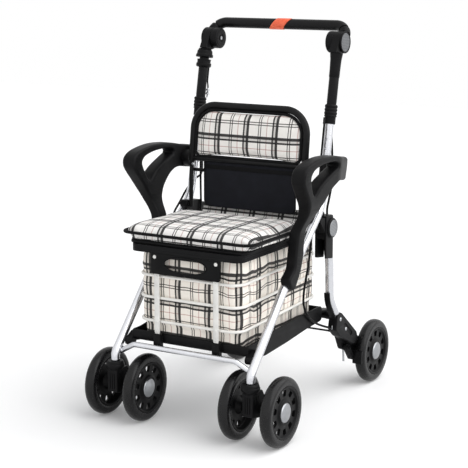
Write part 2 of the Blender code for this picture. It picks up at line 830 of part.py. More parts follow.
def pivot_cap(name, side):
    """The outer cap: a rim round a recessed textured face, and the bolt that the handle turns on."""
    inner = HEAD_OUTER_X + GAP
    profile = [
        (0, CAP_OUTER_X - 0.0008),
        (CAP_FACE_R, CAP_OUTER_X - 0.0012),
        (CAP_FACE_R + 0.0008, CAP_OUTER_X),
        (CAP_R - 0.0012, CAP_OUTER_X),
        (CAP_R, CAP_OUTER_X - 0.0012),
        (CAP_R, inner),
        (BOLT_R, inner),
        (BOLT_R, KNUCKLE_INNER_X - 0.0008),
        (0, KNUCKLE_INNER_X - 0.0008),
    ]
    matrix = Matrix.Translation((0, PIVOT_Y, PIVOT_Z)) @ Matrix.Rotation(side * math.pi / 2, 4, "Y")
    node(f"pivot_cap_{name}", revolve(profile, 20, matrix), SLIDE, GREY)


# Handle


def handle_place(x, rise):
    """A place on the handle's plane: across the cart, and out from the pivot."""
    return Vector((x, PIVOT_Y + rise * math.sin(HANDLE_ANGLE), PIVOT_Z + rise * math.cos(HANDLE_ANGLE)))


def handle_bend(start, steps=4):
    """The bar's line from an angle into the left bend, across, and round to the same angle on the right."""
    centre_x = HANDLE_HALF - HANDLE_BEND_R
    centre_rise = HANDLE_RISE - HANDLE_BEND_R
    left = []
    for k in range(steps + 1):
        a = start + (math.pi / 2 - start) * k / steps
        left.append((centre_x + HANDLE_BEND_R * math.cos(a), centre_rise + HANDLE_BEND_R * math.sin(a)))
    right = [(-x, rise) for x, rise in reversed(left)]
    return [handle_place(x, rise) for x, rise in left + right]


def handle_bar():
    knuckles = []
    cuts = []
    for side in SIDES.values():
        inner = side * KNUCKLE_INNER_X
        outer = side * KNUCKLE_OUTER_X
        knuckles.append(cylinder(DISC_R, inner, outer, PIVOT_Y, PIVOT_Z, 20))
        beyond = side * (CAP_OUTER_X + 0.030)
        cuts.append(cylinder(DISC_R + 0.0006, outer + side * 0.0001, beyond, PIVOT_Y, PIVOT_Z, 20))
        cuts.append(cylinder(BOLT_R + RUN, inner - side * 0.010, outer + side * 0.010, PIVOT_Y, PIVOT_Z, 12))
        line = [Vector((side * p.x, p.y, p.z)) for p in handle_bend(math.radians(10), 10)]
        knuckles.append(sweep(line[:4], SOCKET_R))
    node("handle_bar", sweep(handle_bend(BAR_START), HANDLE_TUBE_R), HANDLE, BLACK, fuse=knuckles, cut=cuts)


def foam_grip():
    bore = sweep(handle_bend(BAR_START), HANDLE_TUBE_R + GAP)
    node("foam_grip", sweep(handle_bend(GRIP_START), GRIP_R), HANDLE, FOAM, cut=(bore,))


def reflective_band():
    """A slanted sleeve round the middle of the grip."""
    rings = []
    centre = handle_place(BAND_X, HANDLE_RISE)
    steps = 16
    for radius, end in ((0, -1), (BAND_WALL, -1), (BAND_WALL, 1), (0, 1)):
        ring = []
        for k in range(steps):
            a = 2 * math.pi * k / steps
            r = GRIP_R + 0.0005 + radius
            slant = -BAND_SLANT / 2 * math.cos(a)
            ring.append(centre + Vector((end * BAND_LENGTH / 2 - slant, r * math.sin(a), r * math.cos(a))))
        rings.append(ring)
    bm = bmesh.new()
    made = [[bm.verts.new(p) for p in ring] for ring in rings]
    for a, b in zip(made, made[1:] + made[:1]):
        for s in range(steps):
            t = (s + 1) % steps
            bm.faces.new((a[s], a[t], b[t], b[s]))
    bmesh.ops.recalc_face_normals(bm, faces=bm.faces)
    node("reflective_band", bm, HANDLE, ORANGE)


# Release sleeve and its cable


def release():
    side = SIDES["right"]
    frame = on_rake(side, CLAMP_SPLIT_Z)
    up = (CLAMP_TOP_Z - CLAMP_SPLIT_Z) / math.cos(RAKE)
    down = (RING_BOTTOM_Z - CLAMP_SPLIT_Z) / math.cos(RAKE)
    bore = UPPER_TUBE_R + GAP
    clamp = [
        (bore, 0.0045), (CLAMP_SKIRT_R, 0.0045), (CLAMP_SKIRT_R, 0.009), (CLAMP_R, up - 0.003),
        (CLAMP_R - 0.002, up), (bore, up),
    ]
    node("release_clamp", revolve(clamp, 16, frame, closed=True), SLIDE, BLACK)
    slack = 0.0045 - RING_TRAVEL - GAP
    ring = [
        (bore + 0.0003, down),
        (RING_R - 0.001, down),
        (RING_R, down + 0.002),
        (RING_R, down + 0.007),
        (RING_R - 0.0018, (down + slack) / 2),
        (RING_R, slack),
        (bore + 0.0003, slack),
    ]
    node("release_ring", revolve(ring, 16, frame, closed=True), SLIDE, BLACK, origin=frame.translation)


def release_cable():
    """A cable down the inner rear of the tube, its adjuster nut and the rod into the collar."""
    side = SIDES["right"]
    frame = on_rake(side, UPPER_BOTTOM_Z)

    def height(z):
        return (z - UPPER_BOTTOM_Z) / math.cos(RAKE)

    out = UPPER_TUBE_R + 0.0046
    place = frame @ Vector((-side * out * 0.70, out * 0.71, 0))
    top = height(RING_BOTTOM_Z) - GAP
    profile = [
        (0, height(COLLAR_TOP_Z) + GAP),
        (0.0022, height(COLLAR_TOP_Z) + GAP),
        (0.0022, height(0.692)),
        (0.0042, height(0.692)),
        (0.0042, height(0.704)),
        (RELEASE_CABLE_R, height(0.706)),
        (RELEASE_CABLE_R, top),
        (0, top),
    ]
    turned = Matrix.Translation(place) @ Matrix.Rotation(-RAKE, 4, "X")
    node("release_cable", revolve(profile, 8, turned), SLIDE, BLACK)


# Armrests: moulded loops that splay outwards at the top


def armrest_x(y, z):
    """How far out the middle of an armrest lies: it splays out above the seat and turns in at its rear."""
    x = ARMREST_SPLAY[0][1] if z < ARMREST_SPLAY[0][0] else ARMREST_SPLAY[-1][1]
    for (z0, x0), (z1, x1) in zip(ARMREST_SPLAY, ARMREST_SPLAY[1:]):
        if z0 <= z <= z1:
            x = x0 + (x1 - x0) * (z - z0) / (z1 - z0)
    return STEM_X + x - max(0, y - ARMREST_TURN_Y) * ARMREST_TURN


ARMREST_OUTLINE = [
    (0.350, 0.571), (0.315, 0.576), (0.281, 0.583), (0.247, 0.587), (0.206, 0.588), (0.166, 0.584),
    (0.138, 0.577), (0.122, 0.565), (0.119, 0.548), (0.128, 0.532), (0.146, 0.510), (0.164, 0.484),
    (0.172, 0.460), (0.173, 0.436), (0.168, 0.410), (0.162, 0.380), (0.155, 0.352), (0.133, 0.334),
    (0.136, 0.320), (0.150, 0.309), (0.163, 0.308), (0.180, 0.328), (0.192, 0.350), (0.199, 0.375),
    (0.199, 0.400), (0.204, 0.430), (0.207, 0.455), (0.210, 0.470), (0.221, 0.488), (0.235, 0.504),
    (0.250, 0.515), (0.268, 0.522), (0.295, 0.526), (0.328, 0.522), (0.350, 0.520), (0.355, 0.532),
    (0.356, 0.558),
]
ARMREST_OPENING = [
    (0.158, 0.546), (0.163, 0.558), (0.180, 0.566), (0.213, 0.571), (0.250, 0.571), (0.268, 0.565),
    (0.270, 0.558), (0.258, 0.554), (0.222, 0.541), (0.196, 0.527), (0.175, 0.514),
]


def armrest(name, side):
    half = ARMREST_THICKNESS / 2
    blank = node(f"armrest_{name}", prism(ARMREST_OUTLINE, -half, half), CART, BLACK)
    opening = hidden(f"armrest_{name}_opening", prism(ARMREST_OPENING, -0.1, 0.1), CART)
    cut = blank.modifiers.new("opening", "BOOLEAN")
    cut.operation = "DIFFERENCE"
    cut.object = opening
    applied(blank)
    bpy.data.objects.remove(opening)
    bm = bmesh.new()
    bm.from_mesh(blank.data)
    cuts = [((0, 0, z), (0, 0, 1)) for z, x in ARMREST_SPLAY] + [((0, ARMREST_TURN_Y, 0), (0, 1, 0))]
    for place, facing in cuts:
        whole = bm.verts[:] + bm.edges[:] + bm.faces[:]
        bmesh.ops.bisect_plane(bm, geom=whole, plane_co=place, plane_no=facing, dist=1e-6)
    rims = [e for e in bm.edges if len(e.link_faces) == 2 and e.calc_face_angle(0) > 1.2]
    bmesh.ops.bevel(bm, geom=rims, offset=ARMREST_EDGE, segments=1, profile=0.5, affect="EDGES")
    for vert in bm.verts:
        vert.co.x = side * (armrest_x(vert.co.y, vert.co.z) + vert.co.x)
    bmesh.ops.recalc_face_normals(bm, faces=bm.faces)
    bm.to_mesh(blank.data)
    bm.free()
    blank.data.shade_smooth()
    blank.data.set_sharp_from_angle(angle=math.radians(35))
    block = prism(
        hull((0.318, 0.545, 0.019), (0.338, 0.543, 0.015)), side * (STEM_X + 0.001), side * CLAMP_OUTER_X
    )
    tube = sweep(main_line(side), TUBE_R + GAP)
    for kind, body in (("UNION", block), ("DIFFERENCE", tube)):
        tool = hidden(f"armrest_{name}_{kind.lower()}", body, CART)
        step = blank.modifiers.new(tool.name, "BOOLEAN")
        step.operation = kind
        step.object = tool


def applied(obj):
    """The object keeps what its modifiers make of it."""
    graph = bpy.context.evaluated_depsgraph_get()
    mesh = bpy.data.meshes.new_from_object(obj.evaluated_get(graph))
    obj.modifiers.clear()
    obj.data = mesh


# Joint blocks, which hold the main tube and the rear leg's knuckle


def leg_line(side):
    x = side * REAR_LEG_X
    corners = [(x, FOLD_Y, FOLD_Z), (x, *LEG_TOP_BEND), (x, *LEG_LOW_BEND), (x, *LEG_END)]
    return bend(corners, [0.060, 0.060], 16)


def turned_back(point, angle):
    """A place of the rear frame after it has folded forwards by an angle."""
    y, z = point[0] - FOLD_Y, point[1] - FOLD_Z
    return (
        FOLD_Y + y * math.cos(angle) + z * math.sin(angle),
        FOLD_Z + z * math.cos(angle) - y * math.sin(angle),
    )


def joint_block(name, side):
    """A forked block behind the main tube: open to the front and below, where the rear leg swings."""
    outline = [
        (BLOCK_FRONT_Y, BLOCK_LOW_FRONT_Z),
        (BLOCK_REAR_Y, BLOCK_LOW_REAR_Z),
        (BLOCK_REAR_Y, BLOCK_TOP_Z - BLOCK_CORNER),
        (BLOCK_REAR_Y - BLOCK_CORNER, BLOCK_TOP_Z),
        (BLOCK_FRONT_Y, BLOCK_TOP_Z),
    ]
    body = prism(outline, side * BLOCK_INNER_X, side * BLOCK_OUTER_X)
    rims = [e for e in body.edges if e.calc_face_angle(0) > 1.0]
    bmesh.ops.bevel(body, geom=rims, offset=0.0018, segments=1, profile=0.5, affect="EDGES")
    tube_y = main_rear_y(BLOCK_TOP_Z)
    foot = (*SADDLE_EAR, SADDLE_EAR_R)
    step = (tube_y - 0.006, BLOCK_STEP_Z - 0.007, 0.007)
    shoulder = (BLOCK_FRONT_Y + 0.006, BLOCK_STEP_Z - 0.006, 0.006)
    saddle = hull(foot, step, shoulder, (BLOCK_FRONT_Y + 0.004, 0.402, 0.003), steps=12)
    parts = [prism(saddle, side * SADDLE_INNER_X, side * (REAR_LEG_X + 0.0025))]
    brow = (tube_y - 0.004, BLOCK_TOP_Z - 0.008, 0.006)
    temple = (BLOCK_FRONT_Y + 0.004, BLOCK_TOP_Z - 0.009, 0.006)
    cheek = hull(brow, temple, (BLOCK_FRONT_Y + 0.004, 0.402, 0.003), steps=12)
    parts.append(prism(cheek, side * REAR_LEG_X, side * (BLOCK_OUTER_X - 0.0025)))
    room = TUBE_R + 0.0004
    low = BLOCK_LOW_REAR_Z - 0.020
    rear = (FOLD_Y + (FOLD_Z - low) * (LEG_TOP_BEND[0] - FOLD_Y) / (FOLD_Z - LEG_TOP_BEND[1]), low)
    front = turned_back(rear, FOLD_ANGLE + math.radians(2))
    eye = KNUCKLE_EYE_R + 0.0005
    slot_x = (side * (REAR_LEG_X - room), side * (REAR_LEG_X + room))
    slot = prism(hull((FOLD_Y, FOLD_Z, eye), (*rear, room), (*front, room), steps=24), *slot_x)
    pin = cylinder(FOLD_PIN_R + RUN, side * PIN_END_X, side * (BLOCK_OUTER_X + 0.019), FOLD_Y, FOLD_Z, 12)
    tube = sweep(main_line(side), TUBE_R + GAP)
    node(f"joint_block_{name}", body, CART, BLACK, fuse=parts, cut=(tube, slot, pin))


def main_rear_y(z):
    """Where the rear of the main tube lies at a height above its knee's lower end."""
    line = main_line(1)
    for a, b in zip(line, line[1:]):
        if b.z <= z <= a.z:
            y = b.y + (a.y - b.y) * (z - b.z) / (a.z - b.z)
            lean = (a - b).normalized()
            return y + TUBE_R / lean.z
    return line[0].y


def block_cap(name, side):
    """The pale round cap over the fold joint, in one with its pin."""
    inner = BLOCK_OUTER_X + GAP
    outer = inner + BLOCK_CAP_THICKNESS
    profile = [
        (0, outer),
        (BLOCK_CAP_R * 0.62, outer - 0.0005),
        (BLOCK_CAP_R - 0.002, outer - 0.0018),
        (BLOCK_CAP_R, outer - 0.0035),
        (BLOCK_CAP_R, inner),
        (FOLD_PIN_R, inner),
        (FOLD_PIN_R, PIN_END_X + GAP),
        (0, PIN_END_X + GAP),
    ]
    matrix = Matrix.Translation((0, FOLD_Y, FOLD_Z)) @ Matrix.Rotation(side * math.pi / 2, 4, "Y")
    node(f"block_cap_{name}", revolve(profile, 18, matrix), CART, GREY)


# Rear frame


def rear_leg(name, side):
    x = side * REAR_LEG_X
    eye = cylinder(KNUCKLE_EYE_R, x - TUBE_R, x + TUBE_R, FOLD_Y, FOLD_Z, 20)
    bore = cylinder(FOLD_PIN_R + RUN, x - 0.02, x + 0.02, FOLD_Y, FOLD_Z, 12)
    node(f"rear_leg_{name}", sweep(leg_line(side), TUBE_R), FOLD, SILVER, fuse=(eye,), cut=(bore,))


def rear_bracket(name, side):
    """The moulded bracket: a neck round the leg's end, an arm beside the wheel, and the axle."""
    neck_outline = hull(
        (0.396, 0.186, 0.0165), (0.470, 0.128, 0.0165), (EYELET_Y, EYELET_Z, EYELET_R), (0.402, 0.154, 0.009)
    )
    neck = prism(neck_outline, side * (REAR_LEG_X - NECK_HALF), side * (REAR_LEG_X + NECK_HALF))
    arm_outline = hull((0.440, 0.150, 0.020), (0.452, 0.112, 0.012), (REAR_AXLE_Y, AXLE_Z, 0.017))
    arm = prism(arm_outline, side * ARM_INNER_X, side * ARM_OUTER_X)
    line = [p for p in leg_line(side) if p.z < TONGUE_TOP_Z]
    tongue = []
    for near in (TUBE_R + TONGUE_GAP, TUBE_R + TONGUE_GAP + TONGUE_THICKNESS):
        edge = []
        for before, here, after in zip(line[:1] + line, line, line[1:] + line[-1:]):
            along = (after - before).normalized()
            edge.append((here.y + near * along.z, here.z - near * along.y))
        tongue += edge[::-1] if tongue else edge
    strip = prism(tongue, side * (REAR_LEG_X - 0.007), side * (REAR_LEG_X + 0.007))
    boss_outer = REAR_WHEEL_X - WHEEL_W / 2 - HUB_BOSS_REACH - GAP
    pin_end = boss_outer + HUB_BOSS_REACH + AXLE_DEPTH - GAP
    axle = cylinder(AXLE_R, side * (ARM_INNER_X + 0.003), side * pin_end, REAR_AXLE_Y, AXLE_Z, 10)
    stub = cylinder(0.004, side * (ARM_INNER_X + 0.003), side * (ARM_OUTER_X + 0.0095), BRAKE_Y, BRAKE_Z, 10)
    leg = sweep(leg_line(side)[:-1] + [Vector((side * REAR_LEG_X, *LEG_END))], TUBE_R + GAP)
    node(f"rear_bracket_{name}", neck, FOLD, BLACK, fuse=(arm, strip, axle, stub), cut=(leg,))


def rear_cross_members():
    inner = REAR_LEG_X - NECK_HALF - GAP
    cross_tube = cylinder(CROSS_TUBE_R, -inner, inner, CROSS_TUBE_Y, CROSS_TUBE_Z, 12)
    node("rear_cross_tube", cross_tube, FOLD, BLACK)
    node("tie_rod", cylinder(TIE_ROD_R, -inner, inner, TIE_ROD_Y, TIE_ROD_Z, 8), FOLD, BLACK)


def brake_shoe(name, side):
    """A shoe in front of the tyre, on an arm that turns on the bracket's stub."""
    inner = side * (ARM_OUTER_X + GAP)
    hub = cylinder(BRAKE_HUB_R, inner, side * (ARM_OUTER_X + 0.009), BRAKE_Y, BRAKE_Z, 14)
    near = WHEEL_R + PAD_CLEARANCE
    far = near + PAD_THICKNESS
    half = math.degrees(PAD_HALF_ANGLE)
    pad_outline = arc(REAR_AXLE_Y, AXLE_Z, near, 180 - half, 180 + half * 0.8, 4)
    pad_outline += arc(REAR_AXLE_Y, AXLE_Z, far, 180 + half * 0.8, 180 - half, 4)
    wheel_inner = REAR_WHEEL_X - WHEEL_W / 2
    pad = prism(pad_outline, side * (wheel_inner + 0.001), side * (REAR_WHEEL_X + WHEEL_W / 2 - 0.001))
    grip_y = REAR_AXLE_Y - far + 0.0015
    arm_outline = hull((BRAKE_Y, BRAKE_Z, 0.005), (grip_y, AXLE_Z, 0.0045), steps=12)
    arm = prism(arm_outline, inner, side * (wheel_inner + 0.004))
    bore_start, bore_end = side * (ARM_INNER_X + 0.001), side * (ARM_OUTER_X + 0.0195)
    bore = cylinder(0.004 + RUN, bore_start, bore_end, BRAKE_Y, BRAKE_Z, 12)
    hinge = (inner, BRAKE_Y, BRAKE_Z)
    node(f"brake_shoe_{name}", hub, FOLD, BLACK, origin=hinge, fuse=(arm, pad), cut=(bore,))


# Backrest


def back_y(z):
    """The lean of the backrest's frame."""
    slope = (BACK_TOP[0] - BACK_LOW_BEND[0]) / (BACK_TOP[1] - BACK_LOW_BEND[1])
    return BACK_LOW_BEND[0] + slope * (z - BACK_LOW_BEND[1])


def backrest_frame():
    """A bare tube on either side, sleeved where it goes round the cushion, and the lower rail."""
    step_y = back_y(BACK_LEG_TOP_Z)
    corners = [
        (-BACK_HALF, *BACK_FOOT),
        (-BACK_HALF, *BACK_LOW_BEND),
        (-BACK_HALF, *BACK_TOP),
        (BACK_HALF, *BACK_TOP),
        (BACK_HALF, *BACK_LOW_BEND),
        (BACK_HALF, *BACK_FOOT),
    ]
    line = bend(corners, [0.08, BACK_CORNER_R, BACK_CORNER_R, 0.08], 22)
    points, radii = [], []
    for before, here in zip([line[0]] + line, line):
        for low, high in ((before, here), (here, before)):
            if low.z < BACK_LEG_TOP_Z < high.z:
                step = [Vector((here.x, step_y, BACK_LEG_TOP_Z + rise)) for rise in (-0.0005, 0.0005)]
                points += step if before.z < here.z else step[::-1]
                radii += [BACK_LEG_R, BACK_TUBE_R] if before.z < here.z else [BACK_TUBE_R, BACK_LEG_R]
        points.append(here)
        radii.append(BACK_TUBE_R if here.z > BACK_LEG_TOP_Z else BACK_LEG_R)
    rail = cylinder(BACK_RAIL_R, -BACK_HALF, BACK_HALF, back_y(BACK_RAIL_Z), BACK_RAIL_Z, 8)
    node("backrest_frame", sweep(points, radii, 10), CART, BLACK_STEEL, fuse=(rail,))


def cushion_rings(outline, levels, lift):
    """Outlines drawn in by an inset and raised by the level's height."""
    cx = sum(p[0] for p in outline) / len(outline)
    cy = sum(p[1] for p in outline) / len(outline)
    half_x = max(p[0] for p in outline) - cx
    half_y = max(p[1] for p in outline) - cy
    rings = []
    for inset, height in levels:
        sx = 1 - inset / half_x
        sy = 1 - inset / half_y
        rings.append([lift(cx + (x - cx) * sx, cy + (y - cy) * sy, height) for x, y in outline])
    return rings, lift(cx, cy, levels[-1][1]), lift(cx, cy, levels[0][1])


def backrest_cushion():
    """The padded panel inside the frame: crowned in front, drawn in at its edge."""
    half = BACK_HALF - BACK_TUBE_R - 2 * GAP
    top = BACK_TOP[1] - BACK_TUBE_R - 2 * GAP
    low = BACK_RAIL_Z + BACK_RAIL_R + 2 * GAP
    corner = BACK_CORNER_R - BACK_TUBE_R
    points = arc(half - corner, top - corner, corner, 0, 90, 5)
    points += arc(-half + corner, top - corner, corner, 90, 180, 5)
    points += arc(-half + 0.012, low + 0.012, 0.012, 180, 270, 3)
    points += arc(half - 0.012, low + 0.012, 0.012, 270, 360, 3)
    thick = PAD_THICK / 2
    levels = [(0.010, thick), (0.003, thick * 0.7), (0, 0.001), (0.003, -thick * 0.7), (0.010, -thick)]
    levels += [(0.028, -thick - PAD_CROWN * 0.55), (0.052, -thick - PAD_CROWN * 0.9)]

    def lift(x, z, depth):
        return (x, back_y(z) + depth, z)

    rings, end, start = cushion_rings(points, levels, lift)
    node("backrest_cushion", loft(rings, start, end), CART, FABRIC, smooth_under=60)


def crossbar_y():
    """The crossbar runs against the rear of the frame."""
    return back_y(CROSSBAR_Z) + BACK_LEG_R + CROSSBAR_R + GAP


def crossbar():
    bar = cylinder(CROSSBAR_R, -CROSSBAR_HALF, CROSSBAR_HALF, crossbar_y(), CROSSBAR_Z, 10)
    node("crossbar", bar, CART, BLACK_STEEL)


def pouch():
    """A flat pouch in front of the crossbar, with two loops over it."""
    rear = crossbar_y() - CROSSBAR_R - 2 * GAP
    top = BACK_RAIL_Z - BACK_RAIL_R - 2 * GAP
    side_line = [
        (rear - POUCH_THICKNESS, POUCH_LOW_Z), (rear - 0.001, POUCH_LOW_Z), (rear, top), (rear - 0.0035, top)
    ]
    panel = prism(side_line, -POUCH_HALF, POUCH_HALF)
    inner = CROSSBAR_R + 2 * GAP
    outer = inner + 0.0018
    centre = crossbar_y()
    loop = arc(centre, CROSSBAR_Z, outer, 180, 0, 8) + arc(centre, CROSSBAR_Z, inner, 0, 180, 8)
    tail = [(centre + inner, CROSSBAR_Z - 0.012), (centre + outer, CROSSBAR_Z - 0.012)]
    hook = loop[:9] + tail[::-1] + loop[9:]
    hook[0] = (rear - 0.002, CROSSBAR_Z)
    loops = [prism(hook, side * LOOP_INNER_X, side * LOOP_OUTER_X) for side in SIDES.values()]
    node("pouch", panel, CART, DARK_FABRIC, fuse=loops)


# Seat


def seat_cushion():
    """The seat: a flat base, a drawn-in side under the piping, and a crowned top."""
    outline = rounded_rectangle(SEAT_HALF, SEAT_FRONT_Y, SEAT_REAR_Y, SEAT_CORNER_R, 5)
    span = SEAT_TOP_Z - SEAT_PIPING_Z
    levels = [
        (0.010, CUSHION_LOW_Z),
        (0.003, CUSHION_LOW_Z + 0.001),
        (0.0025, SEAT_PIPING_Z - 0.005),
        (0, SEAT_PIPING_Z - 0.0018),
        (0, SEAT_PIPING_Z + 0.0018),
        (0.003, SEAT_PIPING_Z + 0.004),
        (0.014, SEAT_PIPING_Z + span * 0.52),
        (0.034, SEAT_PIPING_Z + span * 0.80),
        (0.064, SEAT_PIPING_Z + span * 0.95),
        (0.100, SEAT_TOP_Z),
    ]
    rings, end, start = cushion_rings(outline, levels, lambda x, y, z: (x, y, z))
    node("seat_cushion", loft(rings, start, end), SEAT, FABRIC, smooth_under=60)


def seat_board():
    """The board under the cushion, with its hinge barrels."""
    outline = rounded_rectangle(BOARD_HALF, BOARD_FRONT_Y, BOARD_REAR_Y, 0.018, 3)
    rings = [[(x, y, z) for x, y in outline] for z in (BOARD_LOW_Z, CUSHION_LOW_Z - GAP)]
    barrels = []
    for side in SIDES.values():
        middle = side * HINGE_BARREL_X
        ends = (middle - HINGE_BARREL_LENGTH / 2, middle + HINGE_BARREL_LENGTH / 2)
        barrels.append(cylinder(HINGE_BARREL_R, *ends, SEAT_HINGE_Y, SEAT_HINGE_Z, 10))
        leaf = [(BOARD_REAR_Y - 0.004, 0.4012), (SEAT_HINGE_Y, 0.4012)]
        leaf += [(SEAT_HINGE_Y, 0.4055), (BOARD_REAR_Y - 0.004, 0.4055)]
        barrels.append(prism(leaf, *ends))
    node("seat_board", loft(rings), SEAT, BLACK, fuse=barrels)


def seat_rim():
    """The fixed ring that the bag hangs in, its lugs on the tubes, and the flange for the handle plate."""
    outer = rounded_rectangle(RIM_HALF, RIM_FRONT_Y, RIM_REAR_Y, 0.020, 3)
    inner = rounded_rectangle(RIM_HALF - RIM_BAND, RIM_FRONT_Y + RIM_BAND, RIM_REAR_Y - RIM_BAND, 0.014, 3)
    top = RIM_LOW_Z + RIM_HEIGHT
    ring = loft([[(x, y, z) for x, y in outer] for z in (RIM_LOW_Z, top)])
    mouth = loft([[(x, y, z) for x, y in inner] for z in (RIM_LOW_Z - 0.01, top + 0.01)])
    flange_y = PLATE_FRONT_Y + PLATE_THICKNESS + GAP
    flange = [(flange_y, FLANGE_LOW_Z), (flange_y + FLANGE_THICKNESS, FLANGE_LOW_Z)]
    flange += [(flange_y + FLANGE_THICKNESS, RIM_LOW_Z + 0.004), (flange_y, RIM_LOW_Z + 0.004)]
    parts = [prism(flange, -PLATE_HALF + 0.002, PLATE_HALF - 0.002)]
    lug_y0, lug_y1 = RIM_LUG_Y
    lug_z = (RIM_LOW_Z + 0.001, top - 0.001)
    lug = [(lug_y0, lug_z[0]), (lug_y1, lug_z[0]), (lug_y1, lug_z[1]), (lug_y0, lug_z[1])]
    for side in SIDES.values():
        parts.append(prism(lug, side * (RIM_HALF - 0.004), side * (STEM_X - TUBE_R + 0.003)))
    tubes = [sweep(main_line(side), TUBE_R + GAP) for side in SIDES.values()]
    plate = prism(
        [
            (PLATE_FRONT_Y - 0.01, PLATE_LOW_Z), (flange_y, PLATE_LOW_Z), (flange_y, PLATE_TOP_Z + GAP),
            (PLATE_FRONT_Y - 0.01, PLATE_TOP_Z + GAP),
        ],
        -PLATE_HALF - GAP,
        PLATE_HALF + GAP,
    )
    node("seat_rim", ring, CART, BLACK, fuse=parts, cut=(mouth, plate, *tubes))


def handle_plate():
    """The black plate under the seat's front edge, with an oval finger hole."""
    low, high = PLATE_LOW_Z, PLATE_TOP_Z
    corner = 0.010
    half = PLATE_HALF
    outline = arc(half - corner, high - corner, corner, 0, 90, 3)
    outline += arc(-half + corner, high - corner, corner, 90, 180, 3)
    outline += arc(-half + corner, low + corner, corner, 180, 270, 3)
    outline += arc(half - corner, low + corner, corner, 270, 360, 3)
    rings = [[(x, y, z) for x, z in outline] for y in (PLATE_FRONT_Y, PLATE_FRONT_Y + PLATE_THICKNESS)]
    reach = OVAL_HALF - OVAL_R
    oval = arc(reach, OVAL_Z, OVAL_R, -90, 90, 6) + arc(-reach, OVAL_Z, OVAL_R, 90, 270, 6)
    hole = loft([[(x, y, z) for x, z in oval] for y in (PLATE_FRONT_Y - 0.01, PLATE_FRONT_Y + 0.02)])
    node("handle_plate", loft(rings), CART, BLACK, cut=(hole,))


# Bag with its hoops and straps


def bag():
    """An open-topped bag, narrow where it stands in the tray and slightly full between the hoops."""
    tucked = (BAG_HALF - 0.004, TRAY_FRONT_Y + TRAY_WALL + 2 * GAP, TRAY_REAR_Y - TRAY_WALL - 2 * GAP)
    free = (BAG_HALF, BAG_FRONT_Y, BAG_REAR_Y)
    levels = [
        (tucked, 0.006, BAG_LOW_Z), (tucked, 0.001, BAG_LOW_Z + 0.006), (tucked, 0, BAG_TUCK_Z),
        (free, 0, BAG_FREE_Z),
    ]
    held = sorted(level + HOOP_RISE / 2 for level in HOOP_LEVELS.values())
    for low, high in zip(held, held[1:]):
        levels += [(free, 0.0001, low), (free, -BAG_FULLNESS, (low + high) / 2)]
    levels.append((free, 0.0001, held[-1]))
    levels += [(free, 0, BAG_TOP_Z), (free, BAG_WALL, BAG_TOP_Z), (free, BAG_WALL + 0.0012, BAG_FREE_Z)]
    levels += [(tucked, BAG_WALL + 0.002, BAG_LOW_Z + BAG_WALL)]
    rings = []
    for (half, front, rear), inset, z in levels:
        ring = rounded_rectangle(half - inset, front + inset, rear - inset, BAG_CORNER_R - inset, 3)
        rings.append([(x, y, z) for x, y in ring])
    node("bag", loft(rings), CART, FABRIC, smooth_under=60)


def hoop(name, z):
    """A wire hoop round the bag, a little higher at the rear."""
    out = HOOP_R + GAP * 2
    outline = rounded_rectangle(BAG_HALF + out, BAG_FRONT_Y - out, BAG_REAR_Y + out, BAG_CORNER_R + out, 3)
    depth = BAG_REAR_Y - BAG_FRONT_Y
    line = [(x, y, z + HOOP_RISE * (y - BAG_FRONT_Y) / depth) for x, y in outline]
    node(f"hoop_{name}", sweep(line, HOOP_R, 6, closed=True), CART, WHITE)


def basket_strap(name, side):
    y = PLATE_FRONT_Y + PLATE_THICKNESS + GAP
    x0 = side * (STRAP_X - STRAP_WIDTH / 2)
    x1 = side * (STRAP_X + STRAP_WIDTH / 2)
    outline = [
        (y, STRAP_LOW_Z), (y + STRAP_THICKNESS, STRAP_LOW_Z), (y + STRAP_THICKNESS, STRAP_TOP_Z),
        (y, STRAP_TOP_Z),
    ]
    node(f"basket_strap_{name}", prism(outline, x0, x1), CART, WHITE)


# Tray


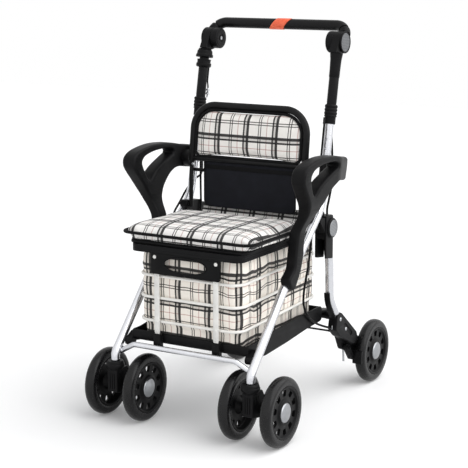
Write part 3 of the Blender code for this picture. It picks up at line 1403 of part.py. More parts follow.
def bottom_tray():
    """The moulded tray: walls that rise to the rear, a keeled underside, front arms, clips and rear hooks."""
    front, rear = TRAY_FRONT_Y, TRAY_REAR_Y
    underside = [(front, 0.185), (front + 0.014, 0.177), (0.104, 0.169), (0.200, 0.175), (0.286, 0.183)]
    back = [(rear - 0.006, 0.187), (rear, 0.192), (rear, 0.218), (rear - 0.006, 0.222)]
    rim = [(0.250, 0.220), (0.120, 0.214), (0.060, 0.206), (front + 0.004, 0.206), (front, 0.203)]
    outline = underside + back + rim
    body = prism(outline, -TRAY_HALF, TRAY_HALF)
    corners = [
        e
        for e in body.edges
        if all(v.co.y > rear - 0.007 for v in e.verts) and abs(e.verts[0].co.x - e.verts[1].co.x) < 1e-6
    ]
    bmesh.ops.bevel(body, geom=corners, offset=0.004, segments=2, profile=0.5, affect="EDGES")
    wall = TRAY_WALL
    floor = BAG_LOW_Z - GAP
    inside = [(front + wall, floor), (rear - wall, floor), (rear - wall, 0.24), (front + wall, 0.24)]
    base = floor - TRAY_FLOOR
    under = [(front + wall, 0.15), (rear - wall, 0.15), (rear - wall, base), (front + wall, base)]
    cuts = [prism(line, -TRAY_HALF + wall, TRAY_HALF - wall) for line in (inside, under)]
    parts = []
    for side in SIDES.values():
        arm = hull((TRAY_PIVOT_Y, TRAY_PIVOT_Z, 0.009), (TRAY_PIVOT_Y + 0.018, 0.190, 0.007), steps=12)
        parts.append(prism(arm, side * (TRAY_HALF - wall), side * (STEM_X - TUBE_R - 0.0006)))
        pin_end = STEM_X - TUBE_R + 0.005
        pin_start = TRAY_HALF + 0.003
        parts.append(cylinder(TRAY_PIN_R, side * pin_start, side * pin_end, TRAY_PIVOT_Y, TRAY_PIVOT_Z, 10))
        clip = [(TRAY_CLIP_Y, 0.188), (front + 0.001, 0.184)]
        clip += [(front + 0.001, TRAY_CLIP_TOP_Z), (TRAY_CLIP_Y, TRAY_CLIP_TOP_Z)]
        parts.append(prism(clip, side * (STRAP_X - 0.009), side * (STRAP_X + 0.009)))
        seat_z = CROSS_TUBE_Z + CROSS_TUBE_R + GAP
        hook = [(rear - 0.002, seat_z + 0.001), (CROSS_TUBE_Y, seat_z), (CROSS_TUBE_Y + 0.0085, seat_z - 0.001)]
        hook += [(CROSS_TUBE_Y + 0.0095, CROSS_TUBE_Z), (CROSS_TUBE_Y + 0.013, CROSS_TUBE_Z)]
        hook += [(CROSS_TUBE_Y + 0.013, seat_z + 0.005), (rear - 0.002, seat_z + 0.008)]
        parts.append(prism(hook, side * TRAY_HOOK_X[0], side * TRAY_HOOK_X[1]))
    node("bottom_tray", body, TRAY, BLACK, fuse=parts, cut=cuts)


# Cables


def cables(name, side):
    start = off_rake(COLLAR_BOTTOM_Z, -EAR_OFFSET, 0)
    down = on_rake(1, COLLAR_BOTTOM_Z).to_3x3() @ Vector((0, 0, -1))
    start = start + down * (EAR_DROP + GAP)
    route = [
        start,
        start + down * 0.015,
        (0.1575, 0.334, 0.573),
        (0.1560, 0.330, 0.530),
        (0.1510, 0.322, 0.480),
        (0.1478, 0.318, 0.440),
        (0.1478, 0.308, 0.385),
        (0.1490, 0.294, 0.335),
        (0.1505, 0.278, 0.300),
        (0.1510, 0.268, 0.270),
        (0.1510, 0.269, 0.243),
        (0.1515, 0.288, 0.215),
        (0.1530, 0.322, 0.192),
        (0.1600, 0.352, 0.178),
        (0.1660, EYELET_Y - EYELET_R - 2 * GAP, 0.1700),
    ]
    cable(f"brake_cable_{name}", side_of(side, [tuple(p) for p in route]), CART, BLACK)
    top = off_rake(COLLAR_BOTTOM_Z, 0, EAR_OFFSET) + down * (EAR_DROP + GAP)
    route = [
        top, top + down * 0.015, (0.1710, 0.3590, 0.590), (0.1715, 0.3610, 0.545), (0.1715, 0.3580, 0.505)
    ]
    if name == "left":
        route += [(0.1712, 0.3450, 0.470), (0.1710, 0.3385, 0.455), (0.1710, 0.3385, BLOCK_TOP_Z + 3 * GAP)]
    else:
        route += [
            (0.1790, 0.3410, 0.492), (0.1858, 0.3150, 0.470), (0.1864, 0.2870, 0.445),
            (0.1880, 0.2690, 0.4280), (0.1860, 0.2612, 0.4208),
        ]
        route += [(STEM_X + TUBE_R + 7 * GAP, 0.2595, 0.4190)]
    cable(f"lock_cable_{name}", side_of(side, [tuple(p) for p in route]), CART, BLACK)


for label, sign in SIDES.items():
    caster(label, sign)
    main_tube(label, sign)
    upper_tube(label, sign)
    collar(label, sign)
    tube_head(label, sign)
    pivot_cap(label, sign)
    armrest(label, sign)
    joint_block(label, sign)
    block_cap(label, sign)
    rear_leg(label, sign)
    rear_bracket(label, sign)
    wheel(f"rear_wheel_{label}", (sign * REAR_WHEEL_X, REAR_AXLE_Y, AXLE_Z), sign, FOLD)
    brake_shoe(label, sign)
    basket_strap(label, sign)
    cables(label, sign)

front_cross_tube()
handle_bar()
foam_grip()
reflective_band()
release()
release_cable()
rear_cross_members()
backrest_frame()
backrest_cushion()
crossbar()
pouch()
seat_cushion()
seat_board()
seat_rim()
handle_plate()
bag()
for label, level in HOOP_LEVELS.items():
    hoop(label, level)
bottom_tray()
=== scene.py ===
"""The visible surfaces of a shopping rollator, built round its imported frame.

Metres, +Z up; mm() turns points written in millimetres. Places are those of the cart's drawing: x from
the middle, positive on the user's left, y from the front caster stems back towards the user, and z from
the floor. place() moves them to the frame's own origin.
"""

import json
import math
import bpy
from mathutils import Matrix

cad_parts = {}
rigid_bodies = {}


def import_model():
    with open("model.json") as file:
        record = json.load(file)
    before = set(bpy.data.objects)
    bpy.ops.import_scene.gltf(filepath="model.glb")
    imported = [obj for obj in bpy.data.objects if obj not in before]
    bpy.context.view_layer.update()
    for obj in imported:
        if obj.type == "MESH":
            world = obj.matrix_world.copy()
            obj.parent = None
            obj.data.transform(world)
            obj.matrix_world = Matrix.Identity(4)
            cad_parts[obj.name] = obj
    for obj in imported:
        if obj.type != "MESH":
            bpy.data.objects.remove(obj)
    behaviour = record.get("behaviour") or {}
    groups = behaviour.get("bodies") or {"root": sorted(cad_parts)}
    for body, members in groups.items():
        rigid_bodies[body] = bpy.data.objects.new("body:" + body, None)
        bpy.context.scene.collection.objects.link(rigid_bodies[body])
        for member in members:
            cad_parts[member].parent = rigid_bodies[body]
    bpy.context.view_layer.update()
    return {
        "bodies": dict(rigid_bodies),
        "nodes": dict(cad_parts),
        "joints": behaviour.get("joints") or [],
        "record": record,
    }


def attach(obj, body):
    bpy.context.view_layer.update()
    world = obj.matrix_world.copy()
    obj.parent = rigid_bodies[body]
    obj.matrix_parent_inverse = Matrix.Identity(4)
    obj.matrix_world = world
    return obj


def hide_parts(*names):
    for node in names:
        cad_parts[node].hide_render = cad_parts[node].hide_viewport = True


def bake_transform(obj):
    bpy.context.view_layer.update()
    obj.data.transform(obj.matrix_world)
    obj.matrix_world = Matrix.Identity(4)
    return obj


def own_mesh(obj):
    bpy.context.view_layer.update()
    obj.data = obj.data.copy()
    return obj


bl_info = {
    "name": "Shopping Rollator",
    "version": (1, 0, 0),
    "blender": (4, 5, 0),
    "location": "View3D > Sidebar > Rollator",
    "description": "Builds the visible surfaces of a shopping rollator round its frame",
    "category": "Add Mesh",
}

import bmesh
import bpy
from bpy.props import FloatProperty, FloatVectorProperty, IntProperty, PointerProperty
from bpy.types import Operator, Panel, PropertyGroup
from mathutils import Matrix, Vector, noise

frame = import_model()

SIDES = {"left": 1, "right": -1}
MID_Y = 0.299
STEM_X = 0.1706
CLEAR = 0.0003
ALONG_X = Matrix.Rotation(math.pi / 2, 4, "Y")

# Raked uprights, with the heights of what they carry
RAKE = math.radians(11.1)
TUBE_R = 0.0095
MAIN_TOP_Z = 0.745
UPPER_TUBE_R = 0.011
UPPER_BOTTOM_Z = 0.649
UPPER_TOP_Z = 0.795
COLLAR_R = 0.0145
COLLAR_FOOT_Z = 0.642
COLLAR_STEP_Z = 0.658
COLLAR_TOP_Z = 0.684
BUTTON_Z = 0.667
ADJUSTER_TOP_Z = 0.706
RING_FOOT_Z = 0.753
CLAMP_Z = 0.771
CLAMP_TOP_Z = 0.792

# Handle joint and bar
PIVOT = (0.4, 0.819)
HANDLE_HALF = 0.171
HANDLE_RISE = 0.046
HANDLE_BEND_R = 0.028
HANDLE_ANGLE = math.atan2(0.03, 0.035)
GRIP_R = 0.012

# Fold joint and rear frame
FOLD = (0.342, 0.41)
REAR_LEG_X = 0.168
CROSS_TUBE = (0.394, 0.193)
TIE_ROD = (0.4, 0.155)
BRAKE_PIVOT = (0.452, 0.106)

# Wheels
WHEEL_R = 0.075
WHEEL_HALF = 0.013
REAR_AXLE_Y = 0.559
REAR_WHEEL_X = STEM_X + 0.0134
CASTER_AXLE_Y = 0.039
TWIN_X = 0.05

# Backrest and pouch
BACK_HALF = STEM_X - 0.0251
BACK_TUBE_R = 0.005
BACK_SLEEVE_R = 0.0078
BACK_SLEEVE_LOW_Z = 0.5447
BACK_KNEE_Z = 0.505
BACK_TOP_Z = 0.675
BACK_BEND_R = 0.055
RAIL_Z = 0.5525
RAIL_R = 0.0045
CROSSBAR_Z = 0.525
CROSSBAR_R = 0.004
POUCH_X = 0.0055

# Seat, bag, basket and tray
SEAT_HALF = STEM_X - 0.0076
SEAT_FRONT_Y = 0.012
SEAT_REAR_Y = 0.2585
SEAT_LOW_Z = 0.4063
SEAT_HINGE = (0.2555, 0.4035)
RIM_HALF = STEM_X - 0.0316
BAG_HALF = RIM_HALF - 0.015
BAG_FRONT_Y, BAG_REAR_Y = 0.0315, 0.372
BAG_LOW_Z, BAG_TOP_Z = 0.19, 0.3845
BAG_CORNER_R = 0.024
HOOPS = {"top": 0.333, "mid": 0.285, "low": 0.233}
HOOP_R = 0.00325
HOOP_RISE = 0.01
STRAP_X = 0.074
STRAP_Y = 0.0203
TRAY_PIVOT = (0.03, 0.178)


# Colours


def linear(hex_code):
    """A hex colour as linear red, green and blue."""
    parts = [int(hex_code[k : k + 2], 16) / 255 for k in (1, 3, 5)]
    return tuple(c / 12.92 if c <= 0.04045 else ((c + 0.055) / 1.055) ** 2.4 for c in parts)


def tinted(hex_code, amount):
    """A hex colour made lighter or darker by a factor."""
    return tuple(min(1.0, c * amount) for c in linear(hex_code)) + (1,)


def colour(name, hex_code, description):
    return FloatVectorProperty(
        name=name, description=description, subtype="COLOR", size=3, min=0, max=1, default=linear(hex_code)
    )


def length(name, metres, description):
    return FloatProperty(
        name=name, description=description, default=metres, min=0, precision=4, unit="LENGTH"
    )


class RollatorCloth(PropertyGroup):
    """The woven cloth of the bag, the seat and the back."""

    ground: colour("Ground", "#F9F2E8", "The undyed threads of the cloth")
    dark: colour("Dark", "#0D0C0E", "The darkest threads of the check")
    accent: colour("Accent", "#A8645C", "The thin single line of the check")
    repeat: length("Repeat", 0.074, "Width of one repeat of the check")
    thread: length(
        "Thread", 0.0011, "Thread spacing, drawn about twice as coarse as it is so that it shows"
    )


class RollatorPadding(PropertyGroup):
    """How full the stuffed pieces are."""

    seat_cap: length("Seat swell", 0.007, "Furthest that a point of the seat moves as it is stuffed")
    back_cap: length("Back swell", 0.005, "Furthest that a point of the back pad moves as it is stuffed")
    bag_fullness: length("Bag fullness", 0.003, "How far the bag stands out between its hoops")
    bag_folds: length("Bag folds", 0.0042, "Depth of the folds in the bag's cloth")
    piping: length("Piping radius", 0.0034, "Radius of the piping round the seat")


class RollatorMetal(PropertyGroup):
    """Tubes and wheels."""

    tube_sides: IntProperty(
        name="Tube sides", description="Facets round each tube", default=28, min=12, max=64
    )
    pockets: IntProperty(
        name="Hub windows", description="Windows in each wheel's hub", default=10, min=5, max=12
    )


# Outlines


def mm(*points):
    """Points written in millimetres, in metres."""
    return [tuple(value / 1000 for value in point) for point in points]


def oblong(low, high, foot, top):
    """The corners of a rectangle in two axes."""
    return [(low, foot), (high, foot), (high, top), (low, top)]


def arc(y, z, radius, start, end, steps):
    """Points along an arc in degrees, 0 towards +Y and 90 towards +Z."""
    angles = [math.radians(start + (end - start) * k / steps) for k in range(steps + 1)]
    return [(y + radius * math.cos(a), z + radius * math.sin(a)) for a in angles]


def left_turn(a, b, c):
    return (b[0] - a[0]) * (c[1] - a[1]) - (b[1] - a[1]) * (c[0] - a[0])


def hull(*circles, steps=48):
    """The outline of a band stretched round circles (y, z, radius)."""
    points = set()
    for y, z, radius in circles:
        points.update(arc(y, z, radius, 0, 360 - 360 / steps, steps - 1) if radius > 0 else [(y, z)])
    points = sorted(points)

    def half(ordered):
        chain = []
        for p in ordered:
            while len(chain) > 1 and left_turn(chain[-2], chain[-1], p) <= 1e-12:
                chain.pop()
            chain.append(p)
        return chain[:-1]

    return half(points) + half(points[::-1])


def bend(corners, radii, step=4):
    """The centre line of a bent tube: straight runs with an arc at each corner between."""
    corners = [Vector(c) for c in corners]
    points = [corners[0]]
    for before, corner, after, radius in zip(corners, corners[1:], corners[2:], radii):
        back = (before - corner).normalized()
        on = (after - corner).normalized()
        swing = math.pi - back.angle(on)
        centre = corner + (back + on).normalized() * radius / math.cos(swing / 2)
        start = corner + back * radius * math.tan(swing / 2) - centre
        end = corner + on * radius * math.tan(swing / 2) - centre
        steps = max(4, round(math.degrees(swing) / step))
        for k in range(steps + 1):
            t = k / steps
            points.append(
                centre + (start * math.sin((1 - t) * swing) + end * math.sin(t * swing)) / math.sin(swing)
            )
    points.append(corners[-1])
    return points


def rounded_rectangle(half, front, rear, radius, steps=10):
    """A closed outline in two axes, counter-clockwise."""
    points = []
    for x, y, start in [(half, rear, 0), (-half, rear, 90), (-half, front, 180), (half, front, 270)]:
        cx = x - math.copysign(radius, x)
        cy = y - radius if y == rear else y + radius
        points += arc(cx, cy, radius, start, start + 90, steps)
    return points


def stepped(line, spacing, closed):
    """Points a steady distance apart along a line of many points."""
    reach = [0.0]
    for a, b in zip(line, line[1:]):
        reach.append(reach[-1] + (b - a).length)
    count = max(2, round(reach[-1] / spacing))
    result = []
    k = 0
    for n in range(count + (0 if closed else 1)):
        want = reach[-1] * n / count
        while k < len(reach) - 2 and reach[k + 1] < want:
            k += 1
        result.append(line[k].lerp(line[k + 1], (want - reach[k]) / (reach[k + 1] - reach[k])))
    return result


def spread(outline, spacing):
    """The same closed outline with points a steady distance apart."""
    ring = [Vector((*p, 0)) for p in outline + outline[:1]]
    return [(p.x, p.y) for p in stepped(ring, spacing, closed=True)]


def smooth(points, spacing, closed=False):
    """Points a steady distance apart on a smooth curve through the given ones."""
    points = [Vector(p) for p in points]
    if closed:
        padded = [points[-1]] + points + [points[0], points[1]]
    else:
        padded = [2 * points[0] - points[1]] + points + [2 * points[-1] - points[-2]]
    fine = []
    for a, b, c, d in zip(padded, padded[1:], padded[2:], padded[3:]):
        for k in range(24):
            t = k / 24
            square, cube = 2 * a - 5 * b + 4 * c - d, 3 * b - a - 3 * c + d
            fine.append(0.5 * (2 * b + (c - a) * t + square * t**2 + cube * t**3))
    fine.append(points[0] if closed else points[-1])
    return stepped(fine, spacing, closed)


def eased(profile, radius, closed=False):
    """A profile with each of its corners rounded over, as a mould rounds them."""
    result = []
    count = len(profile)
    for k, here in enumerate(profile):
        if not closed and k in (0, count - 1):
            result.append(here)
            continue
        here = Vector(here)
        before = Vector(profile[k - 1])
        after = Vector(profile[(k + 1) % count])
        reach = min(radius, (here - before).length * 0.45, (here - after).length * 0.45)
        a = here + (before - here).normalized() * reach
        b = here + (after - here).normalized() * reach
        for t in (0, 0.33, 0.67, 1):
            result.append(tuple(a * (1 - t) ** 2 + here * 2 * t * (1 - t) + b * t * t))
    return result


# Bodies in bmesh


def slab(outline, x0, x1, edge=0.0012, segments=2):
    """An outline in y and z, extruded along X, with its rims rounded over."""
    bm = bmesh.new()
    face = bm.faces.new([bm.verts.new((x0, y, z)) for y, z in outline])
    out = bmesh.ops.extrude_face_region(bm, geom=[face])
    moved = [v for v in out["geom"] if isinstance(v, bmesh.types.BMVert)]
    bmesh.ops.translate(bm, vec=(x1 - x0, 0, 0), verts=moved)
    bmesh.ops.recalc_face_normals(bm, faces=bm.faces)
    if edge:
        rims = [e for e in bm.edges if e.calc_face_angle(0) > 0.6]
        shape = {"segments": segments, "profile": 0.6, "affect": "EDGES", "clamp_overlap": True}
        bmesh.ops.bevel(bm, geom=rims, offset=edge, **shape)
    return bm


def lathe(profile, matrix=Matrix(), steps=56, closed=False):
    """A profile of (radius, height), turned round the Z axis and then placed by the matrix."""
    bm = bmesh.new()
    verts = [bm.verts.new((r, 0, h)) for r, h in profile]
    edges = [bm.edges.new(pair) for pair in zip(verts, verts[1:])]
    if closed:
        edges.append(bm.edges.new((verts[-1], verts[0])))
    whole = {"cent": (0, 0, 0), "axis": (0, 0, 1), "angle": 2 * math.pi, "steps": steps, "use_merge": True}
    bmesh.ops.spin(bm, geom=verts + edges, **whole)
    bmesh.ops.remove_doubles(bm, verts=bm.verts, dist=1e-6)
    bmesh.ops.recalc_face_normals(bm, faces=bm.faces)
    bmesh.ops.transform(bm, matrix=matrix, verts=bm.verts)
    return bm


def tube(points, radius, sides=None, closed=False, caps=True):
    """A round tube along a path, of one radius or of a radius for each point."""
    sides = sides or bpy.context.scene.rollator_metal.tube_sides
    bm = bmesh.new()
    points = [Vector(p) for p in points]
    count = len(points)
    radii = radius if isinstance(radius, list) else [radius] * count
    rings = []
    side = None
    for k, p in enumerate(points):
        before = points[k - 1] if k or closed else p
        after = points[(k + 1) % count] if k < count - 1 or closed else p
        along = ((after - p).normalized() + (p - before).normalized()).normalized()
        if side is None:
            side = along.orthogonal().normalized() if abs(along.x) > 0.99 else Vector((1, 0, 0))
        side = (side - along * side.dot(along)).normalized()
        lift = along.cross(side)
        ring = []
        for s in range(sides):
            a = 2 * math.pi * s / sides
            ring.append(bm.verts.new(p + (side * math.cos(a) + lift * math.sin(a)) * radii[k]))
        rings.append(ring)
    pairs = list(zip(rings, rings[1:]))
    if closed:
        pairs.append((rings[-1], rings[0]))
    for a, b in pairs:
        for s in range(sides):
            t = (s + 1) % sides
            bm.faces.new((a[s], a[t], b[t], b[s]))
    if not closed and caps:
        bm.faces.new(rings[0][::-1])
        bm.faces.new(rings[-1])
    bmesh.ops.recalc_face_normals(bm, faces=bm.faces)
    return bm


def skin(rings, low=True, high=True, loop=False):
    """A skin through outlines of the same number of points, closed over at either end if wanted."""
    bm = bmesh.new()
    made = [[bm.verts.new(p) for p in ring] for ring in rings]
    count = len(made[0])
    for a, b in zip(made, made[1:] + made[:1] if loop else made[1:]):
        for s in range(count):
            t = (s + 1) % count
            bm.faces.new((a[s], a[t], b[t], b[s]))
    if low and not loop:
        bm.faces.new(made[0])
    if high and not loop:
        bm.faces.new(made[-1])
    bmesh.ops.recalc_face_normals(bm, faces=bm.faces)
    return bm


def prism(outline, low, high):
    """An outline in x and y, raised between two heights."""
    return skin([[(x, y, z) for x, y in outline] for z in (low, high)])


def two_sided(near, far):
    """A thin body between two grids of points, closed along its four edges."""
    bm = bmesh.new()
    grids = [[[bm.verts.new(p) for p in row] for row in grid] for grid in (near, far)]
    rims = [[grid[0], grid[-1], [row[0] for row in grid], [row[-1] for row in grid]] for grid in grids]
    for a, b in [pair for grid in grids for pair in zip(grid, grid[1:])] + list(zip(*rims)):
        for s in range(len(a) - 1):
            bm.faces.new((a[s], a[s + 1], b[s + 1], b[s]))
    bmesh.ops.recalc_face_normals(bm, faces=bm.faces)
    return bm


def bar(x0, x1, y, z, radius, sides=28):
    """A round bar across the cart."""
    return tube([(x0, y, z), (x1, y, z)], radius, sides)


def joined(*bodies):
    """Several bodies as one mesh, for small things that are one moulding or one screw row."""
    whole = bmesh.new()
    for body in bodies:
        mesh = bpy.data.meshes.new("part")
        body.to_mesh(mesh)
        body.free()
        whole.from_mesh(mesh)
        bpy.data.meshes.remove(mesh)
    return whole


# Pieces


def place(point):
    """A place in the drawing as a place in the frame."""
    return Vector((point[0], point[1] - MID_Y, point[2]))


def object_of(name, bm):
    mesh = bpy.data.meshes.new(name)
    bm.to_mesh(mesh)
    bm.free()
    obj = bpy.data.objects.new(name, mesh)
    bpy.context.scene.collection.objects.link(obj)
    return obj


def keep_modifiers(obj):
    """The object keeps what its modifiers make of it."""
    graph = bpy.context.evaluated_depsgraph_get()
    mesh = bpy.data.meshes.new_from_object(obj.evaluated_get(graph))
    obj.modifiers.clear()
    obj.data = mesh


def solid(name, bm, cutters=(), edge=0.0, crease=35):
    """An object from a body, less its cutters, with its corners eased and shaded smooth up to a crease."""
    obj = object_of(name, bm)
    tools = [object_of("cutter", cutter) for cutter in cutters]
    for tool in tools:
        step = obj.modifiers.new("cut", "BOOLEAN")
        step.operation = "DIFFERENCE"
        step.solver = "EXACT"
        step.object = tool
    if edge:
        step = obj.modifiers.new("edge", "BEVEL")
        step.width = edge
        step.segments = 2
        step.limit_method = "ANGLE"
        step.angle_limit = math.radians(38)
    if obj.modifiers:
        keep_modifiers(obj)
    for tool in tools:
        bpy.data.objects.remove(tool)
    obj.data.shade_smooth()
    obj.data.set_sharp_from_angle(angle=math.radians(crease))
    return obj


def settle(obj, body, finish, stands_for=()):
    """Moves a piece to the frame, and gives it its finish, its body and the nodes it stands for."""
    obj.data.transform(Matrix.Translation(place((0, 0, 0))))
    for name in (finish,) if isinstance(finish, str) else finish:
        obj.data.materials.append(look(name))
    if body:
        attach(obj, body)
    if stands_for:
        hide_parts(*((stands_for,) if isinstance(stands_for, str) else stands_for))
    return obj


def piece(name, bm, body, finish, stands_for=(), cutters=(), edge=0.0, crease=35):
    """A finished piece from its body."""
    return settle(solid(name, bm, cutters, edge, crease), body, finish, stands_for)


def moulding(name, bm, body, stands_for=(), cutters=(), edge=0.0, crease=35):
    """A piece moulded in black ABS."""
    return piece(name, bm, body, "black_abs", stands_for, cutters, edge, crease)


def binding(name, line, radius, body, sides=10, closed=True):
    """A tape or piping sewn along a line."""
    return piece(name, tube(line, radius, sides, closed), body, "binding_tape")


def turned_to(at, axis):
    """A frame at a place whose Z looks along an axis."""
    return Matrix.Translation(at) @ Vector(axis).to_track_quat("Z", "Y").to_matrix().to_4x4()


def facing(side, at):
    """A frame at (y, z) in the middle of the cart whose Z looks out to a side."""
    return Matrix.Translation((0, *at)) @ Matrix.Rotation(side * math.pi / 2, 4, "Y")


# Finishes


def feed(tree, node, **values):
    """Gives a node its settings, and each socket a value or what feeds it, which for a node is its first
    output. i0 is the first input."""
    for key, value in values.items():
        if hasattr(node, key):
            setattr(node, key, value)
            continue
        socket = node.inputs[int(key[1:]) if key[1:].isdigit() else key.replace("_", " ")]
        if isinstance(value, bpy.types.Node):
            value = value.outputs[0]
        if isinstance(value, bpy.types.NodeSocket):
            tree.links.new(value, socket)
        else:
            socket.default_value = value
    return node


def add(tree, kind, **values):
    """A node with its settings and links."""
    return feed(tree, tree.nodes.new("ShaderNode" + kind), **values)


def start(name):
    """An empty material: its tree, its Principled shader and the piece's own coordinates in metres."""
    mat = bpy.data.materials.new(name)
    mat.use_nodes = True
    tree = mat.node_tree
    return mat, tree, tree.nodes["Principled BSDF"], add(tree, "TexCoord").outputs["Object"]


def mottled(tree, where, size, low, high):
    """A slow change between two colours, over patches of a given size."""
    patch = add(tree, "TexNoise", Vector=where, Scale=1 / size, Detail=3.0, Roughness=0.55)
    mix = add(tree, "MapRange", Value=patch, From_Min=0.3, From_Max=0.7)
    return add(tree, "Mix", data_type="RGBA", i0=mix, i6=low, i7=high).outputs[2]


def moulded_plastic(name, hex_code, roughness, grain=0.0012, depth=0.00005, gloss=0.09):
    """Injection-moulded ABS or polypropylene from a spark-eroded mould: dull, with a fine even grain."""
    mat, tree, shader, where = start(name)
    tone = mottled(tree, where, 0.05, tinted(hex_code, 0.86), tinted(hex_code, 1.2))
    fine = add(tree, "TexNoise", Vector=where, Scale=1 / grain, Detail=2.0, Roughness=0.6)
    rub = add(tree, "TexNoise", Vector=where, Scale=1 / 0.03, Detail=4.0, Roughness=0.6)
    rough = add(tree, "MapRange", Value=rub, To_Min=roughness - 0.07, To_Max=roughness + 0.09)
    relief = add(tree, "Bump", Height=fine, Distance=depth)
    feed(tree, shader, Base_Color=tone, Roughness=rough, Normal=relief)
    feed(tree, shader, IOR=1.5, Specular_IOR_Level=gloss)
    return mat


def drawn_tube(name, hex_code, roughness):
    """Anodised aluminium tube, drawn through a die: satin, with faint lines along it and a soft sheen."""
    mat, tree, shader, where = start(name)
    tone = mottled(tree, where, 0.03, tinted(hex_code, 0.94), tinted(hex_code, 1.04))
    lines = add(tree, "Mapping", Vector=where, Scale=(1, 0.12, 0.06))
    drawn = add(tree, "TexNoise", Vector=lines, Scale=1 / 0.0011, Detail=3.0, Roughness=0.5)
    rough = add(tree, "MapRange", Value=drawn, To_Min=roughness - 0.06, To_Max=roughness + 0.1)
    relief = add(tree, "Bump", Height=drawn, Distance=0.000012)
    feed(tree, shader, Base_Color=tone, Metallic=1.0, Roughness=rough, Normal=relief)
    return mat


def powder_coat(name, hex_code, roughness):
    """Powder-coated steel: a baked film with a faint orange-peel ripple, which softens its highlights."""
    mat, tree, shader, where = start(name)
    tone = mottled(tree, where, 0.04, tinted(hex_code, 0.9), tinted(hex_code, 1.15))
    peel = add(tree, "TexNoise", Vector=where, Scale=1 / 0.0022, Detail=1.5)
    relief = add(tree, "Bump", Height=peel, Distance=0.00004)
    feed(tree, shader, Base_Color=tone, Roughness=roughness, Specular_IOR_Level=0.12, Normal=relief)
    return mat


def cell_foam(name):
    """Closed-cell NBR foam, ground smooth: near black and matt, with the broken skin of small cells."""
    mat, tree, shader, where = start(name)
    tone = mottled(tree, where, 0.02, tinted("#0A0A0B", 0.9), tinted("#101011", 1.1))
    cells = add(tree, "TexVoronoi", Vector=where, Scale=1 / 0.0014, Randomness=1.0)
    relief = add(tree, "Bump", Height=cells, Distance=0.00006)
    feed(tree, shader, Base_Color=tone, Roughness=0.4, Specular_IOR_Level=0.15, Normal=relief)
    return mat


def stripes(tree, along, repeat, bars):
    """How much the threads of the bars, each (middle, half width, weight), cover the cloth along an axis."""
    turns = add(tree, "Math", operation="DIVIDE", i0=along, i1=repeat)
    step = add(tree, "Math", operation="FRACT", i0=turns)
    total = None
    for middle, half, weight in bars:
        line = add(tree, "Math", operation="COMPARE", i0=step, i1=middle, i2=half)
        part = add(tree, "Math", operation="MULTIPLY", i0=line, i1=weight)
        if total is not None:
            part = add(tree, "Math", operation="MAXIMUM", i0=total, i1=part)
        total = part
    return total


def crossed(tree, first, second, pitch):
    """Two waves of one pitch multiplied, as the over and under of a weave or the diamonds of a knurl."""
    waves = []
    for along in (first, second):
        turn = add(tree, "Math", operation="MULTIPLY", i0=along, i1=math.pi / pitch)
        waves.append(add(tree, "Math", operation="SINE", i0=turn))
    return add(tree, "Math", operation="MULTIPLY", i0=waves[0], i1=waves[1])


def flat_axes(tree):
    """The two axes of the cloth laid flat, in metres."""
    flat = add(tree, "UVMap", uv_map="cloth")
    return add(tree, "SeparateXYZ", Vector=flat).outputs[:2]


# Bars of the check within one repeat: middle, half width and weight
CHECK_BARS = [
    (0.09, 0.028, 1.0), (0.15, 0.03, 0.3), (0.222, 0.044, 1.0), (0.6, 0.014, 0.95), (0.672, 0.014, 0.95)
]
ACCENT_BARS = [(0.88, 0.012, 0.6)]


def check_cloth(name, warmth):
    """Plain-woven polyester in a generic check, darkest where warp and weft bars cross, as in any yarn-dyed
    cloth. A narrow and a broad dark bar stand beside a half-tone, a pair of thin lines runs halfway between,
    and one thin line in a dull red stands off the middle."""
    cloth = bpy.context.scene.rollator_cloth
    mat, tree, shader, where = start(name)
    axes = flat_axes(tree)
    white = max(cloth.ground)
    ground = tuple(white + (c - white) * warmth for c in cloth.ground)
    tone = mottled(tree, where, 0.05, (*(c * 0.97 for c in ground), 1), (*ground, 1))
    darks = []
    for along in axes:
        dark = stripes(tree, along, cloth.repeat, CHECK_BARS)
        darks.append(add(tree, "Math", operation="MULTIPLY", i0=dark, i1=0.97))
    reds = [stripes(tree, along, cloth.repeat, ACCENT_BARS) for along in axes]
    for cover, thread in [(dark, cloth.dark) for dark in darks] + [(red, cloth.accent) for red in reds]:
        layer = add(
            tree, "Mix", data_type="RGBA", blend_type="MULTIPLY", i0=cover, i6=tone, i7=(*thread, 1)
        )
        tone = layer.outputs[2]
    relief = add(tree, "Bump", Height=crossed(tree, *axes, cloth.thread), Distance=0.00012)
    feed(tree, shader, Base_Color=tone, Roughness=0.82, Normal=relief)
    feed(tree, shader, Sheen_Weight=0.12, Sheen_Roughness=0.4)
    return mat


def plain_cloth(name, hex_code, thread=0.0011):
    """Black polyester Oxford or webbing: a coarse plain weave that catches a little light on its threads."""
    mat, tree, shader, where = start(name)
    tone = mottled(tree, where, 0.03, tinted(hex_code, 0.85), tinted(hex_code, 1.25))
    relief = add(tree, "Bump", Height=crossed(tree, *flat_axes(tree), thread), Distance=0.00012)
    feed(tree, shader, Base_Color=tone, Roughness=0.85, Specular_IOR_Level=0.2, Normal=relief)
    feed(tree, shader, Sheen_Weight=0.03, Sheen_Roughness=0.45)
    return mat


def tape(name, hex_code):
    """Bias binding and piping: a soft black tape, ribbed across by its threads."""
    mat, tree, shader, where = start(name)
    tone = mottled(tree, where, 0.02, tinted(hex_code, 0.85), tinted(hex_code, 1.3))
    fine = add(tree, "TexNoise", Vector=where, Scale=1 / 0.0012, Detail=2.0)
    relief = add(tree, "Bump", Height=fine, Distance=0.00015)
    feed(tree, shader, Base_Color=tone, Roughness=0.6, Specular_IOR_Level=0.08, Normal=relief)
    feed(tree, shader, Sheen_Weight=0.02)
    return mat


